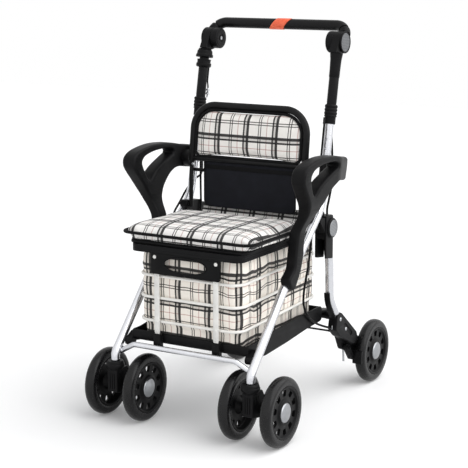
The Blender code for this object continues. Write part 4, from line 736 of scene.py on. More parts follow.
def solid_tyre(name):
    """A solid polyurethane tyre: charcoal, satin, with a dusty bloom and faint scuffs round its tread."""
    mat, tree, shader, where = start(name)
    tone = mottled(tree, where, 0.012, tinted("#0D0D0E", 0.92), tinted("#131314", 1.1))
    scuff = add(tree, "TexNoise", Vector=where, Scale=1 / 0.004, Detail=4.0, Roughness=0.65)
    rough = add(tree, "MapRange", Value=scuff, To_Min=0.2, To_Max=0.34)
    relief = add(tree, "Bump", Height=scuff, Distance=0.00006)
    feed(tree, shader, Base_Color=tone, Roughness=rough, Normal=relief)
    feed(tree, shader, Specular_IOR_Level=0.24)
    return mat


def bright_metal(name, hex_code, roughness):
    """Chromed cap or zinc-plated screw: a thin bright plating, with fine turning marks."""
    mat, tree, shader, where = start(name)
    tone = mottled(tree, where, 0.01, tinted(hex_code, 0.9), tinted(hex_code, 1.05))
    marks = add(tree, "TexNoise", Vector=where, Scale=1 / 0.0016, Detail=2.0)
    rough = add(tree, "MapRange", Value=marks, To_Min=roughness - 0.04, To_Max=roughness + 0.1)
    relief = add(tree, "Bump", Height=marks, Distance=0.00002)
    feed(tree, shader, Base_Color=tone, Metallic=1.0, Roughness=rough, Normal=relief)
    return mat


def coated_wire(name, hex_code):
    """Steel wire dipped in off-white PVC: a soft thick skin, glossier than moulded plastic."""
    mat, tree, shader, where = start(name)
    tone = mottled(tree, where, 0.02, tinted(hex_code, 0.93), tinted(hex_code, 1.02))
    ripple = add(tree, "TexNoise", Vector=where, Scale=1 / 0.005, Detail=1.0)
    relief = add(tree, "Bump", Height=ripple, Distance=0.00006)
    feed(tree, shader, Base_Color=tone, Roughness=0.32, Normal=relief)
    return mat


def knurled_cap(name, hex_code):
    """Grey nylon cap with a diamond knurl moulded in its face. The diamonds are 3.4 mm, coarser
    than on the real cap, so that they show. Their colour carries painted shade and painted highlight:
    each diamond runs from dark in its hollows to light on its crest, following the height that bumps it."""
    mat, tree, shader, where = start(name)
    spot = add(tree, "SeparateXYZ", Vector=where).outputs
    slants = []
    for sign in (1.0, -1.0):
        slants.append(add(tree, "Math", operation="MULTIPLY_ADD", i0=spot[1], i1=sign, i2=spot[2]))
    diamond = crossed(tree, *slants, 0.0034)
    # Painted shade in the knurl's hollows and painted highlight on its crests, following the knurl's height
    cover = add(tree, "MapRange", Value=diamond, From_Min=-1.0)
    tone = add(
        tree, "Mix", data_type="RGBA", i0=cover, i6=tinted(hex_code, 0.35), i7=tinted(hex_code, 1.35)
    )
    relief = add(tree, "Bump", Height=diamond, Distance=0.00025)
    feed(tree, shader, Base_Color=tone.outputs[2], Roughness=0.42, Normal=relief)
    return mat


def glass_bead_tape(name):
    """Retroreflective tape: orange cloth under a layer of fine glass beads, so it is flat and silky."""
    mat, tree, shader, where = start(name)
    tone = mottled(tree, where, 0.006, tinted("#EE5F3A", 0.95), tinted("#F4714A", 1.05))
    beads = add(tree, "TexVoronoi", Vector=where, Scale=1 / 0.0012)
    relief = add(tree, "Bump", Height=beads, Distance=0.00005)
    feed(tree, shader, Base_Color=tone, Roughness=0.45, Normal=relief)
    return mat


FINISHES = {
    "black_abs": (moulded_plastic, "#111112", 0.42),
    "black_nylon": (moulded_plastic, "#0E0E0F", 0.32, 0.0016, 0.00004),
    "anodised_tube": (drawn_tube, "#CDCED2", 0.24),
    "black_powder_coat": (powder_coat, "#111112", 0.36),
    "nbr_foam": (cell_foam,),
    "check_cloth": (check_cloth, 1.0),
    "seat_cloth": (check_cloth, 0.35),
    "back_cloth": (check_cloth, 0.55),
    "grey_webbing": (plain_cloth, "#3A3A3E"),
    "oxford_cloth": (plain_cloth, "#14151B"),
    "black_lining": (plain_cloth, "#101011", 0.0009),
    "binding_tape": (tape, "#0D0D0E"),
    "solid_tyre": (solid_tyre,),
    "chrome_cap": (bright_metal, "#9C9EA1", 0.3),
    "zinc_screw": (bright_metal, "#B9BBBE", 0.28),
    "pvc_wire": (coated_wire, "#EFEDE8"),
    "white_strap": (moulded_plastic, "#E6E5E1", 0.42, 0.0018, 0.00005, 0.5),
    # The knurled caps carry painted shade and painted highlight in their knurl
    "knurled_cap": (knurled_cap, "#85878A"),
    "dark_knurled_cap": (knurled_cap, "#66686B"),
    "orange_tape": (glass_bead_tape,),
    "pvc_sheath": (moulded_plastic, "#0C0C0D", 0.28, 0.003, 0.00003),
}


def look(name):
    """A finish by its name, made once."""
    make, *settings = FINISHES[name]
    return bpy.data.materials.get(name) or make(name, *settings)


def lay_cloth(obj, across):
    """Writes where each corner of a face lies on the flat cloth, in metres, by across(place, normal)."""
    layer = obj.data.uv_layers.get("cloth") or obj.data.uv_layers.new(name="cloth")
    for poly in obj.data.polygons:
        for loop in poly.loop_indices:
            here = obj.data.vertices[obj.data.loops[loop].vertex_index].co
            layer.data[loop].uv = across(here, poly.normal)


def boxed(here, normal):
    """Cloth laid flat on whichever side of a box a face looks to."""
    if abs(normal.z) > 0.62:
        return here.x, here.y
    if abs(normal.y) > abs(normal.x):
        return here.x, here.z
    return here.y, here.z


# Small hardware


def screw(name, at, axis, radius, body, finish="zinc_screw", rise=0.0016, socket=True):
    """A domed screw or rivet head on a surface, with a socket where it is turned by a key."""
    profile = [(0, -0.0004), (radius, -0.0004), (radius, 0)]
    profile += [(radius * 0.96, rise * 0.45), (radius * 0.7, rise * 0.9), (radius * 0.45, rise)]
    if socket:
        profile += [(radius * 0.4, rise), (radius * 0.36, rise * 0.2), (0, rise * 0.2)]
    else:
        profile += [(0, rise * 1.02)]
    return piece(name, lathe(profile, turned_to(at, axis), 20), body, finish, crease=50)


def nut(at, axis, radius, height):
    """A six-sided nut with its corners turned off, on its washer."""
    washer = lathe(oblong(0, radius * 1.25, 0, height * 0.2), turned_to(at, axis), 24)
    corners = [(0, 0), (radius, 0), (radius, height * 0.85), (radius * 0.86, height), (0, height)]
    return joined(washer, lathe(corners, turned_to(at, axis), 6))


# Places on the uprights


def rake_y(z):
    return 0.338 + math.tan(RAKE) * (z - 0.6)


def on_rake(side, z):
    """A frame on the upright's centre line: Z along the tube and Y to its rear."""
    return Matrix.Translation((side * STEM_X, rake_y(z), z)) @ Matrix.Rotation(-RAKE, 4, "X")


def up_rake(z):
    """A height as a distance along the upright from its lower end."""
    return (z - UPPER_BOTTOM_Z) / math.cos(RAKE)


def main_line(side):
    """The main tube's centre line: down the rake, forward past the seat and down the front leg."""
    x = side * STEM_X
    knees = [(rake_y(z), z) for z in (MAIN_TOP_Z, 0.46)] + mm((137, 307), (0, 156), (0, 138.5))
    return bend([(x, *knee) for knee in knees], [0.09, 0.25, 0.025])


def tube_room(side, sides=32):
    """The room that a main tube needs in whatever clasps it."""
    return tube(main_line(side), TUBE_R + CLEAR, sides)


def leg_line(side):
    """The rear leg's centre line, from the fold pin down to the wheel bracket."""
    return bend(
        [(side * REAR_LEG_X, *p) for p in [FOLD] + mm((358, 322), (361, 241), (401, 185))], [0.06, 0.06]
    )


# Wheels


def hub_window(middle, half_angle, inner, outer):
    """A window through the hub: a piece of a ring with rounded corners."""
    corners = []
    for radius, sign in ((inner, -1), (outer, -1), (outer, 0), (outer, 1), (inner, 1), (inner, 0)):
        a = middle + sign * half_angle * (1 if radius == outer else 0.86)
        corners.append((radius * math.cos(a), radius * math.sin(a)))
    return prism(eased(corners, 0.0032, closed=True), -0.006, 0.012)


def wheel_parts():
    """The tyre, hub and cap of a wheel round its own axle, which is Z, with the outer side up."""
    tread = mm(
        (57, 12), (58.2, 12.8), (61, 13), (65.6, 13), (69.8, 11.9), (72.8, 9.1), (74.5, 5.2), (75, 1.8),
        (75, -1.8), (74.5, -5.2), (72.8, -9.1), (69.8, -11.9), (65.6, -13), (59.5, -13), (57, -12),
        (55.7, -8), (55.7, 8),
    )
    tyre = solid("tyre", lathe(eased(tread, 0.0012, closed=True), steps=96, closed=True), crease=50)
    web = mm(
        (0, 10.8), (20, 10.8), (22.8, 12.6), (25, 12.2), (28.5, 9.4), (32.2, 8.4), (50.2, 8.4),
        (51.2, 10.6), (52.8, 12.1), (56.6, 12.1), (56.6, -12.1), (52, -12.1), (50.2, 1.8), (30, 1.4),
        (20, -0.4), (14.5, -9), (13, -11), (13, -22.9), (4.3, -22.9), (4.3, 4), (0, 4),
    )
    count = bpy.context.scene.rollator_metal.pockets
    pitch = math.tau / count
    windows = [hub_window(pitch * k, pitch * 0.27, 0.0352, 0.0487) for k in range(count)]
    hub = solid("hub", lathe(eased(web, 0.0009), steps=96), [joined(*windows)], edge=0.0006, crease=40)
    dome = mm(
        (0, 16.3), (5, 16.2), (10.5, 15.6), (15.5, 14.4), (17.2, 13.8), (18, 13.9), (18.8, 13.6),
        (20.5, 12.4), (21, 11.2), (0, 11.2),
    )
    cap = solid("cap", lathe(dome, steps=72), crease=50)
    return [(tyre, "tyre", "solid_tyre"), (hub, "hub", "black_nylon"), (cap, "cap", "chrome_cap")]


def set_wheel(parts, node, at, outward):
    """One wheel: its pieces share the meshes of the others and ride on the body named as their node."""
    frame_at = Matrix.Translation(place(at)) @ Matrix.Rotation(outward * math.pi / 2, 4, "Y")
    for source, part, finish in parts:
        obj = bpy.data.objects.new(f"{node}_{part}", source.data)
        bpy.context.scene.collection.objects.link(obj)
        obj.matrix_world = frame_at
        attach(obj, node)
        if part == "tyre":
            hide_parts(node)


class ROLLATOR_OT_wheels(Operator):
    """Makes the six wheels: solid tyres on windowed hubs, each with a domed cap on its outer side"""

    bl_idname = "rollator.wheels"
    bl_label = "Wheels"

    def execute(self, context):
        parts = wheel_parts()
        for source, part, finish in parts:
            source.data.materials.append(look(finish))
        for name, side in SIDES.items():
            set_wheel(parts, f"rear_wheel_{name}", (side * REAR_WHEEL_X, REAR_AXLE_Y, WHEEL_R), side)
            for twin, outward in (("outer", side), ("inner", -side)):
                at = (side * STEM_X + outward * TWIN_X, CASTER_AXLE_Y, WHEEL_R)
                set_wheel(parts, f"caster_wheel_{name}_{twin}", at, outward)
        for source, part, finish in parts:
            bpy.data.objects.remove(source)
        return {"FINISHED"}


# Casters


class ROLLATOR_OT_casters(Operator):
    """Makes the two caster forks, each a ribbed block between its wheels under a round cup"""

    bl_idname = "rollator.casters"
    bl_label = "Casters"

    def execute(self, context):
        rib = 0.0009
        for name, side in SIDES.items():
            x = side * STEM_X
            body = f"caster_{name}"
            front = mm((-20, 76), (-11.5, 76), (-11.5, 112), (-20, 112))
            grooves = [
                slab(front, x + middle - rib, x + middle + rib, 0) for middle in (-0.0055, 0, 0.0055)
            ]
            for y in (-0.005, 0.002, 0.009):
                upright = oblong(y - rib, y + rib, 0.093, 0.113)
                grooves += [slab(upright, x + face * 0.012, x + face * 0.02, 0) for face in (-1, 1)]
            outline = hull(*mm((39, 75, 15.8), (-9.5, 117.5, 3.5), (-9.5, 72.5, 3.5), (25.5, 117.5, 3.5)))
            block = slab(outline, x - 0.0128, x + 0.0128, 0.0016, 3)
            moulding(f"fork_{name}", block, body, f"caster_fork_{name}", [joined(*grooves)])
            cup = mm(
                (0, 114.7), (10.8, 114.7), (18.8, 123.6), (20.1, 126.2), (20.2, 130), (19.4, 131.8),
                (18.8, 132.2), (18.8, 134), (17.8, 137.2), (16.8, 138.6), (10.5, 138.6), (10, 137.9),
                (0, 137.9),
            )
            moulding(f"fork_cup_{name}", lathe(eased(cup, 0.0006), Matrix.Translation((x, 0, 0)), 72), body)
            axle = Matrix.Translation((x, CASTER_AXLE_Y, WHEEL_R)) @ ALONG_X
            boss = mm(
                (0, -26.5), (11.2, -26.5), (12.6, -25), (12.9, -12), (12.9, 12), (12.6, 25), (11.2, 26.5),
                (0, 26.5)
            )
            moulding(f"fork_boss_{name}", lathe(boss, axle, 48), body)
            pin = mm((0, -53.5), (3.4, -53.5), (3.9, -53), (3.9, 53), (3.4, 53.5), (0, 53.5))
            piece(f"caster_axle_{name}", lathe(pin, axle, 32), body, "zinc_screw")
        return {"FINISHED"}


# Main frame tubes


class ROLLATOR_OT_main_tubes(Operator):
    """Makes the raked main tubes with their adjusting holes, and the cross tube between the front legs"""

    bl_idname = "rollator.main_tubes"
    bl_label = "Main Tubes"

    def execute(self, context):
        for name, side in SIDES.items():
            x = side * STEM_X
            button = on_rake(side, BUTTON_Z)
            holes = []
            for height in (0.04, 0.02, 0.0, -0.06, -0.08):
                holes.append(
                    tube([button @ Vector((0, back, height)) for back in (-0.02, 0.02)], 0.0032, 20)
                )
            cuts = [joined(*holes), bar(x - side * 0.02, x - side * 0.0035, *TRAY_PIVOT, 0.0033, 16)]
            main = solid(f"main_tube_body_{name}", tube(main_line(side), TUBE_R), cuts, crease=40)
            settle(main, "main_frame", "anodised_tube", f"main_tube_{name}")
            rim = lathe(
                oblong(0.006, TUBE_R + 0.0002, 0, 0.0018), Matrix.Translation((x, 0, 0.1387)), 40,
                closed=True,
            )
            piece(f"stem_bush_{name}", rim, "main_frame", "black_nylon")
            foot = Vector((side * 0.159, 0.0121, 0.1625))
            along = Vector((side * 0.042, 0.003, -0.022)).normalized()
            bead = mm((5.6, -1.6), (6.8, -1.2), (7.4, 0), (6.8, 1.4), (5.6, 1.6))
            bead = lathe(bead, turned_to(foot, along), 32, closed=True)
            piece(f"weld_bead_{name}", bead, "main_frame", "anodised_tube")
        end, half = STEM_X - 0.0036, STEM_X - 0.0426
        low, high = mm((13, 156), (10, 178))
        line = bend([(-end, *low), (-half, *high), (half, *high), (end, *low)], [0.022, 0.022])
        legs = [tube_room(side, 24) for side in SIDES.values()]
        cross = solid("front_cross_tube_body", tube(line, 0.006), legs, crease=40)
        settle(cross, "main_frame", "anodised_tube", "front_cross_tube")
        return {"FINISHED"}


# Upper tubes


def collar_ears(side, frame_at):
    """The two short tubes on the collar that the cables go into."""
    ears = []
    low = up_rake(COLLAR_FOOT_Z) - 0.0006
    steps = mm(
        (0, 0), (3.4, 0), (3.8, 0.6), (3.8, 4.2), (3.4, 4.6), (3.4, 5.8), (3.8, 6.2), (3.8, 14.8), (0, 14.8)
    )
    for out, back in ((-side * 0.0128, 0), (0, 0.0128)):
        at = frame_at @ Matrix.Translation((out, back, 0))
        ears.append(lathe([(radius, low + height) for radius, height in steps], at, 28))
    return ears


def button_bore(at, near, far):
    """A bore for the push button, from one distance behind the tube's middle to another."""
    return tube([at @ Vector((0, back, 0)) for back in (near, far)], 0.003, 20)


class ROLLATOR_OT_upper_tubes(Operator):
    """Makes the sliding upper tubes with their collars, buttons, moulded heads, caps and release sleeve"""

    bl_idname = "rollator.upper_tubes"
    bl_label = "Upper Tubes"

    def execute(self, context):
        for name, side in SIDES.items():
            self.sleeve(name, side)
            self.head(name, side)
        self.release(SIDES["right"])
        return {"FINISHED"}

    def sleeve(self, name, side):
        foot_at = on_rake(side, UPPER_BOTTOM_Z)
        button_at = on_rake(side, BUTTON_Z)
        bore = TUBE_R + 0.0004
        wall = lathe(oblong(bore, UPPER_TUBE_R, 0, up_rake(UPPER_TOP_Z)), foot_at, 48, closed=True)
        upper = solid(f"upper_tube_body_{name}", wall, [button_bore(button_at, 0.005, 0.02)], edge=0.0003)
        settle(upper, "upper_frame", "black_powder_coat", f"upper_tube_{name}")
        top, step, foot = up_rake(COLLAR_TOP_Z), up_rake(COLLAR_STEP_Z), up_rake(COLLAR_FOOT_Z)
        rib = (top - step) / 7
        body = [(UPPER_TUBE_R + CLEAR, top), (COLLAR_R - 0.0015, top)]
        for k in range(3):
            ridge = top - rib * (2 * k + 1)
            body += [(COLLAR_R, ridge + 0.001), (COLLAR_R, ridge - 0.001), (COLLAR_R - 0.0013, ridge - rib)]
        body += [
            (COLLAR_R, step + 0.0008), (COLLAR_R - 0.0004, step), (0.0125, step), (0.0125, foot + 0.0004)
        ]
        body += [(0.0121, foot), (bore, foot), (bore, -CLEAR), (UPPER_TUBE_R + CLEAR, -CLEAR)]
        ring = lathe(eased(body, 0.0004, closed=True), foot_at, 64, closed=True)
        cuts = [button_bore(button_at, 0.008, 0.03)]
        moulding(f"collar_body_{name}", ring, "upper_frame", f"collar_{name}", cuts, crease=45)
        ears = joined(*collar_ears(side, foot_at))
        piece(f"collar_ears_{name}", ears, "upper_frame", "black_nylon")
        rest = COLLAR_R + 0.0028
        inner = UPPER_TUBE_R + 0.0014
        button = [(0, inner), (0.0027, inner), (0.0027, rest)]
        for radius, rise in mm((4, 0), (4.2, 0.4), (4.2, 1.4), (3.6, 2.2), (2, 2.7), (0, 2.8)):
            button.append((radius, rest + rise))
        button = lathe(button, button_at @ Matrix.Rotation(-math.pi / 2, 4, "X"), 32)
        node = f"collar_button_{name}"
        piece(f"push_button_{name}", button, f"button_{name}", "black_nylon", node)

    def head(self, name, side):
        top = on_rake(1, UPPER_TOP_Z + CLEAR)
        front, rear = [top @ Vector((0, sign * (UPPER_TUBE_R + 0.0032), 0.0012)) for sign in (-1, 1)]
        outline = hull((*PIVOT, 0.024), (front.y, front.z, 0.0012), (rear.y, rear.z, 0.0012), steps=64)
        half = slab(outline, side * (STEM_X - 0.0115), side * (STEM_X + 0.0064), 0.0012, 3)
        seat = lathe(
            oblong(0, 0.021, 0, 0.004), turned_to((side * (STEM_X + 0.0054), *PIVOT), (side, 0, 0)), 48
        )
        moulding(f"tube_head_body_{name}", half, "upper_frame", f"tube_head_{name}", [seat])
        skirt = mm((10, -0.4), (10.8, 0.3), (11.6, 0.6), (12, 2.6), (11.2, 4), (10, 4.4))
        if name == "right":
            skirt = mm((11.3, -2.8), (14.6, -2.8), (15.2, -2.2), (15.2, -1), (14.6, -0.4), (11.3, -0.4))
        skirt = lathe(skirt, on_rake(side, UPPER_TOP_Z), 40, closed=True)
        piece(f"tube_head_skirt_{name}", skirt, "upper_frame", "black_abs")
        if name == "left":
            fall = 0.052
            reach = fall / math.cos(RAKE)
            neck = [(0.01, 0), (UPPER_TUBE_R + CLEAR, 0), (UPPER_TUBE_R + 0.0007, 0.0006)]
            for swell, share in ((0.0009, 0.35), (0.0016, 0.75), (0.003, 0.95), (0.0034, 1)):
                neck.append((UPPER_TUBE_R + swell, reach * share))
            neck.append((0.01, reach))
            neck = lathe(neck, on_rake(side, UPPER_TOP_Z - fall), 48, closed=True)
            moulding(f"tube_head_neck_{name}", neck, "upper_frame")
        outer = STEM_X + 0.0116
        inner = STEM_X + 0.0067
        floor = outer - 0.0022
        at = facing(side, PIVOT)
        rim = [
            (0, inner), (0.0238, inner), (0.0245, inner + 0.0008), (0.0245, outer - 0.0016),
            (0.0239, outer - 0.0005), (0.0228, outer), (0.0218, outer - 0.0002), (0.0213, outer - 0.0012),
            (0.0212, floor), (0, floor),
        ]
        moulding(f"pivot_cap_rim_{name}", lathe(rim, at, 72), "upper_frame", f"pivot_cap_{name}")
        face = [
            (0, outer - 0.0002), (0.012, outer - 0.0004), (0.0206, outer - 0.001), (0.021, outer - 0.0016)
        ]
        face = lathe(face + [(0.021, floor), (0, floor)], at, 72)
        piece(f"pivot_cap_face_{name}", face, "upper_frame", "dark_knurled_cap", crease=50)
        bolt = [(0, 0.1405), (0.0039, 0.1405), (0.0039, inner), (0, inner)]
        piece(f"pivot_bolt_{name}", lathe(bolt, at, 24), "upper_frame", "zinc_screw")

    def release(self, side):
        at = on_rake(side, CLAMP_Z)
        up = (CLAMP_TOP_Z - CLAMP_Z) / math.cos(RAKE)
        down = (RING_FOOT_Z - CLAMP_Z) / math.cos(RAKE)
        bore = UPPER_TUBE_R + CLEAR
        meeting = 0.0045
        clamp = [
            (bore, meeting), (0.0194, meeting), (0.02, 0.0049), (0.02, 0.0096), (0.019, 0.0108),
            (0.0182, 0.0116), (0.018, 0.0138), (0.0176, up - 0.0036), (0.0168, up - 0.0012), (0.015, up),
            (bore, up),
        ]
        clamp = lathe(eased(clamp, 0.0005, closed=True), at, 64, closed=True)
        moulding("release_clamp_body", clamp, "upper_frame", "release_clamp", crease=45)
        travel = 0.005
        slack = meeting - travel - CLEAR
        ring = [
            (bore + CLEAR, down), (0.016, down), (0.0176, down + 0.002), (0.0176, down + 0.0076),
            (0.0164, down + 0.0092), (0.0156, (down + slack) / 2), (0.0156, slack - 0.0035),
            (0.0162, slack - 0.0016), (0.0162, slack), (bore + CLEAR, slack),
        ]
        ring = lathe(eased(ring, 0.0006, closed=True), at, 64, closed=True)
        moulding("release_ring_body", ring, "release_slider", "release_ring", crease=45)
        self.release_cable(side)

    def release_cable(self, side):
        away = UPPER_TUBE_R + 0.0046
        foot = on_rake(side, UPPER_BOTTOM_Z)
        turned = Matrix.Translation(
            foot @ Vector((-side * away * 0.7, away * 0.71, 0))
        ) @ Matrix.Rotation(-RAKE, 4, "X")
        low = up_rake(COLLAR_TOP_Z) + CLEAR
        rest, high = up_rake(ADJUSTER_TOP_Z), up_rake(RING_FOOT_Z) - CLEAR
        line = []
        for k in range(13):
            t = k / 12
            lean = min(1.0, t / 0.4)
            inward = 0.0027 * lean * lean * (3 - 2 * lean)
            line.append(turned @ Vector((side * 0.7 * inward, -0.71 * inward, rest + (high - rest) * t)))
        cable = piece(
            "release_cable_body", tube(line, 0.0018, 16), "upper_frame", "pvc_sheath", "release_cable",
        )
        thread = [(0, low), (0.002, low)]
        turns = 14
        for k in range(turns):
            h = low + (rest - low) * k / turns
            thread += [(0.0022, h + 0.0002), (0.0018, h + 0.0009)]
        thread += [(0.0018, rest), (0, rest)]
        upwards = turned.to_3x3() @ Vector((0, 0, 1))
        nuts = [nut(turned @ Vector((0, 0, up_rake(z))), upwards, 0.0042, 0.0042) for z in (0.692, 0.7)]
        piece(
            "cable_adjuster", joined(lathe(thread, turned, 20), *nuts), "upper_frame", "zinc_screw",
            crease=25,
        )


# Handle


def handle_place(x, rise):
    """A place on the handle's plane: across the cart, and out from the pivot."""
    return Vector((x, PIVOT[0] + rise * math.sin(HANDLE_ANGLE), PIVOT[1] + rise * math.cos(HANDLE_ANGLE)))


def handle_bend(start, steps=14):
    """The bar's line from an angle into the left bend, across, and round to the same angle on the right."""
    centre_x = HANDLE_HALF - HANDLE_BEND_R
    centre_rise = HANDLE_RISE - HANDLE_BEND_R
    left = []
    for k in range(steps + 1):
        a = start + (math.pi / 2 - start) * k / steps
        left.append((centre_x + HANDLE_BEND_R * math.cos(a), centre_rise + HANDLE_BEND_R * math.sin(a)))
    right = [(-x, rise) for x, rise in reversed(left)]
    return [handle_place(x, rise) for x, rise in left + right]


class ROLLATOR_OT_handle(Operator):
    """Makes the handle bar with its knuckles, the foam grip and the slanted reflective band"""

    bl_idname = "rollator.handle"
    bl_label = "Handle"

    def execute(self, context):
        for name, side in SIDES.items():
            self.knuckle(name, side)
        core = handle_bend(math.radians(18))
        piece("handle_bar_tube", tube(core, TUBE_R, 24), "handle", "black_powder_coat")
        line = handle_bend(math.radians(41), 16)
        rounding = (0, 0.12, 0.3, 0.6)
        head = [line[0].lerp(line[1], t) for t in rounding]
        tail = [line[-1].lerp(line[-2], t) for t in reversed(rounding)]
        radii = [0.0104, 0.0112, 0.0117, GRIP_R]
        radii += [GRIP_R] * (len(line) - 2) + radii[::-1]
        whole = tube(head + line[1:-1] + tail, radii, 48)
        grip = solid("foam_grip_body", whole, [tube(core, TUBE_R + 0.0002, 24)], crease=50)
        settle(grip, "handle", "nbr_foam", "foam_grip")
        self.band()
        return {"FINISHED"}

    def knuckle(self, name, side):
        inner, outer = STEM_X - 0.0296, STEM_X - 0.0119
        floor = inner + 0.0016
        disc = [
            (0, floor), (0.0092, floor), (0.01, inner + 0.0004), (0.0112, inner), (0.0186, inner),
            (0.0198, inner + 0.001), (0.0206, inner + 0.001), (0.0228, inner + 0.0008),
            (0.024, inner + 0.0022), (0.024, outer - 0.0016), (0.023, outer), (0.0042, outer), (0, outer),
        ]
        stands_for = "handle_bar" if name == "left" else ()
        moulding(
            f"knuckle_disc_{name}", lathe(eased(disc, 0.0006), facing(side, PIVOT), 72), "handle",
            stands_for,
        )
        line = [Vector((side * p.x, p.y, p.z)) for p in handle_bend(math.radians(8), 24)][:9]
        radii = [0.0134 - 0.0001 * k for k in range(7)] + [0.0124, 0.0114]
        moulding(f"grip_socket_{name}", tube(line, radii, 40), "handle")
        washer = lathe(
            oblong(0, 0.006, -0.0002, 0.0006), turned_to((side * floor, *PIVOT), (-side, 0, 0)), 28
        )
        piece(f"knuckle_washer_{name}", washer, "handle", "black_nylon")
        at = (side * (inner + 0.001), *PIVOT)
        screw(f"knuckle_screw_{name}", at, (-side, 0, 0), 0.0036, "handle", rise=0.0019)

    def band(self):
        centre = handle_place(0.001, HANDLE_RISE)
        half, slant = 0.018, 0.01
        edge = [(0.00025, -half), (0.00085, 0.0002 - half), (0.0011, 0.0008 - half)]
        edge += [(rise, -end) for rise, end in reversed(edge)]
        rings = []
        for rise, end in edge:
            ring = []
            for k in range(64):
                a = math.tau * k / 64
                r = GRIP_R + rise
                ring.append(centre + Vector((end + slant * math.cos(a), r * math.sin(a), r * math.cos(a))))
            rings.append(ring)
        piece(
            "band_tape", skin(rings, loop=True), "handle", "orange_tape", "reflective_band"
        )


# Armrests


ARM_SPLAY = mm((300, 177), (425, 177), (436, 181), (467, 199), (490, 206.5), (560, 214), (600, 214))
ARM_OUTLINE = mm(
    (350, 571), (315, 576), (281, 583), (247, 587), (206, 588), (166, 584), (138, 577), (122, 565),
    (119, 548), (128, 532), (146, 510), (164, 484), (172, 460), (173, 436), (168, 410), (162, 380),
    (155, 352), (134, 334), (136, 320), (148, 309), (158, 308), (174, 328), (187, 350), (196, 375),
    (199, 400), (204, 430), (209, 452), (216, 469), (228, 486), (242, 501), (256, 512), (272, 520),
    (295, 526), (328, 522), (350, 520), (355, 532), (356, 558),
)
ARM_OPENING = mm(
    (154, 546), (159, 560), (178, 568), (213, 573), (254, 573), (276, 568), (279, 560), (266, 555),
    (226, 540), (199, 526), (175, 511),
)


def arm_x(y, z):
    """How far out the middle of an armrest lies, eased from one straight run of its splay to the next."""
    ease = 0.006
    total = 0.0
    for k in range(-3, 4):
        here = z + ease * k / 3
        x = ARM_SPLAY[0][1] if here < ARM_SPLAY[0][0] else ARM_SPLAY[-1][1]
        for (z0, x0), (z1, x1) in zip(ARM_SPLAY, ARM_SPLAY[1:]):
            if z0 <= here <= z1:
                x = x0 + (x1 - x0) * (here - z0) / (z1 - z0)
        total += x / 7
    turn = y - 0.285
    soft = 0.012
    inward = 0 if turn < -soft else (turn + soft) ** 2 / (4 * soft) if turn < soft else turn
    return total - inward * 0.26


def offset(outline, by):
    """A closed outline moved inwards along its own normals; its points run counter-clockwise."""
    result = []
    count = len(outline)
    for k, (y, z) in enumerate(outline):
        before = Vector(outline[k - 1])
        after = Vector(outline[(k + 1) % count])
        along = (after - before).normalized()
        result.append((y - along.y * by, z + along.x * by))
    return result


def counter_clockwise(outline):
    area = sum(a[0] * b[1] - b[0] * a[1] for a, b in zip(outline, outline[1:] + outline[:1]))
    return outline if area > 0 else outline[::-1]


def moulded_plate(outline, openings, half, radius, steps=5):
    """A plate on either side of the Y-Z plane, with rounded rims at its outline and its openings."""
    bm = bmesh.new()
    caps = {-1: [], 1: []}
    turns = [math.pi / 2 * k / steps for k in range(1, steps + 1)]
    levels = [(-half, radius)] + [
        (-half + radius * (1 - math.cos(a)), radius * (1 - math.sin(a))) for a in turns
    ]
    levels += [(-x, inset) for x, inset in reversed(levels)]
    for sign, loop in [(1, outline)] + [(-1, opening) for opening in openings]:
        loop = counter_clockwise(loop)
        rings = []
        for x, inset in levels:
            rings.append([bm.verts.new((x, y, z)) for y, z in offset(loop, sign * inset)])
        for a, b in zip(rings, rings[1:]):
            for s in range(len(loop)):
                t = (s + 1) % len(loop)
                bm.faces.new((a[s], a[t], b[t], b[s]))
        for end, ring in ((-1, rings[0]), (1, rings[-1])):
            caps[end] += [bm.edges.get((a, b)) for a, b in zip(ring, ring[1:] + ring[:1])]
    for end in caps:
        bmesh.ops.triangle_fill(
            bm, edges=caps[end], use_beauty=True, use_dissolve=False, normal=(end, 0, 0)
        )
    bmesh.ops.recalc_face_normals(bm, faces=bm.faces)
    return bm


class ROLLATOR_OT_armrests(Operator):
    """Makes the armrests: moulded loops that splay out above the seat, each clamped to its tube"""

    bl_idname = "rollator.armrests"
    bl_label = "Armrests"

    def execute(self, context):
        outline, opening = [
            [(p.x, p.y) for p in smooth([(y, z, 0) for y, z in points], 0.0035, closed=True)]
            for points in (ARM_OUTLINE, ARM_OPENING)
        ]
        levels = [((0, 0, 0.312 + k * 0.0058), (0, 0, 1)) for k in range(48)]
        levels += [((0, y, 0), (0, 1, 0)) for y in (0.273, 0.281, 0.289, 0.297, 0.312)]
        for name, side in SIDES.items():
            bm = moulded_plate(outline, [opening], 0.0125, 0.0052)
            for at, normal in levels:
                whole = bm.verts[:] + bm.edges[:] + bm.faces[:]
                bmesh.ops.bisect_plane(bm, geom=whole, plane_co=at, plane_no=normal, dist=1e-6)
            for vert in bm.verts:
                rise = min(1.0, max(0.0, (vert.co.z - 0.445) / 0.07))
                broad = 1 + 0.36 * rise * rise * (3 - 2 * rise)
                vert.co.x = side * (arm_x(vert.co.y, vert.co.z) + vert.co.x * broad)
            bmesh.ops.recalc_face_normals(bm, faces=bm.faces)
            moulding(
                f"armrest_moulding_{name}", bm, "main_frame", f"armrest_{name}", [tube_room(side)],
                crease=32,
            )
            jaw = hull(*mm((318, 545, 18.8), (338, 543, 14.8)))
            clamp = slab(jaw, side * (STEM_X + 0.001), side * (STEM_X + 0.024), 0.0022, 3)
            moulding(f"armrest_clamp_{name}", clamp, "main_frame", cutters=[tube_room(side)])
            at = (side * (STEM_X + 0.0239), 0.33, 0.546)
            screw(f"clamp_screw_{name}", at, (side, 0, 0), 0.005, "main_frame", "black_nylon")
        return {"FINISHED"}


# Fold joints


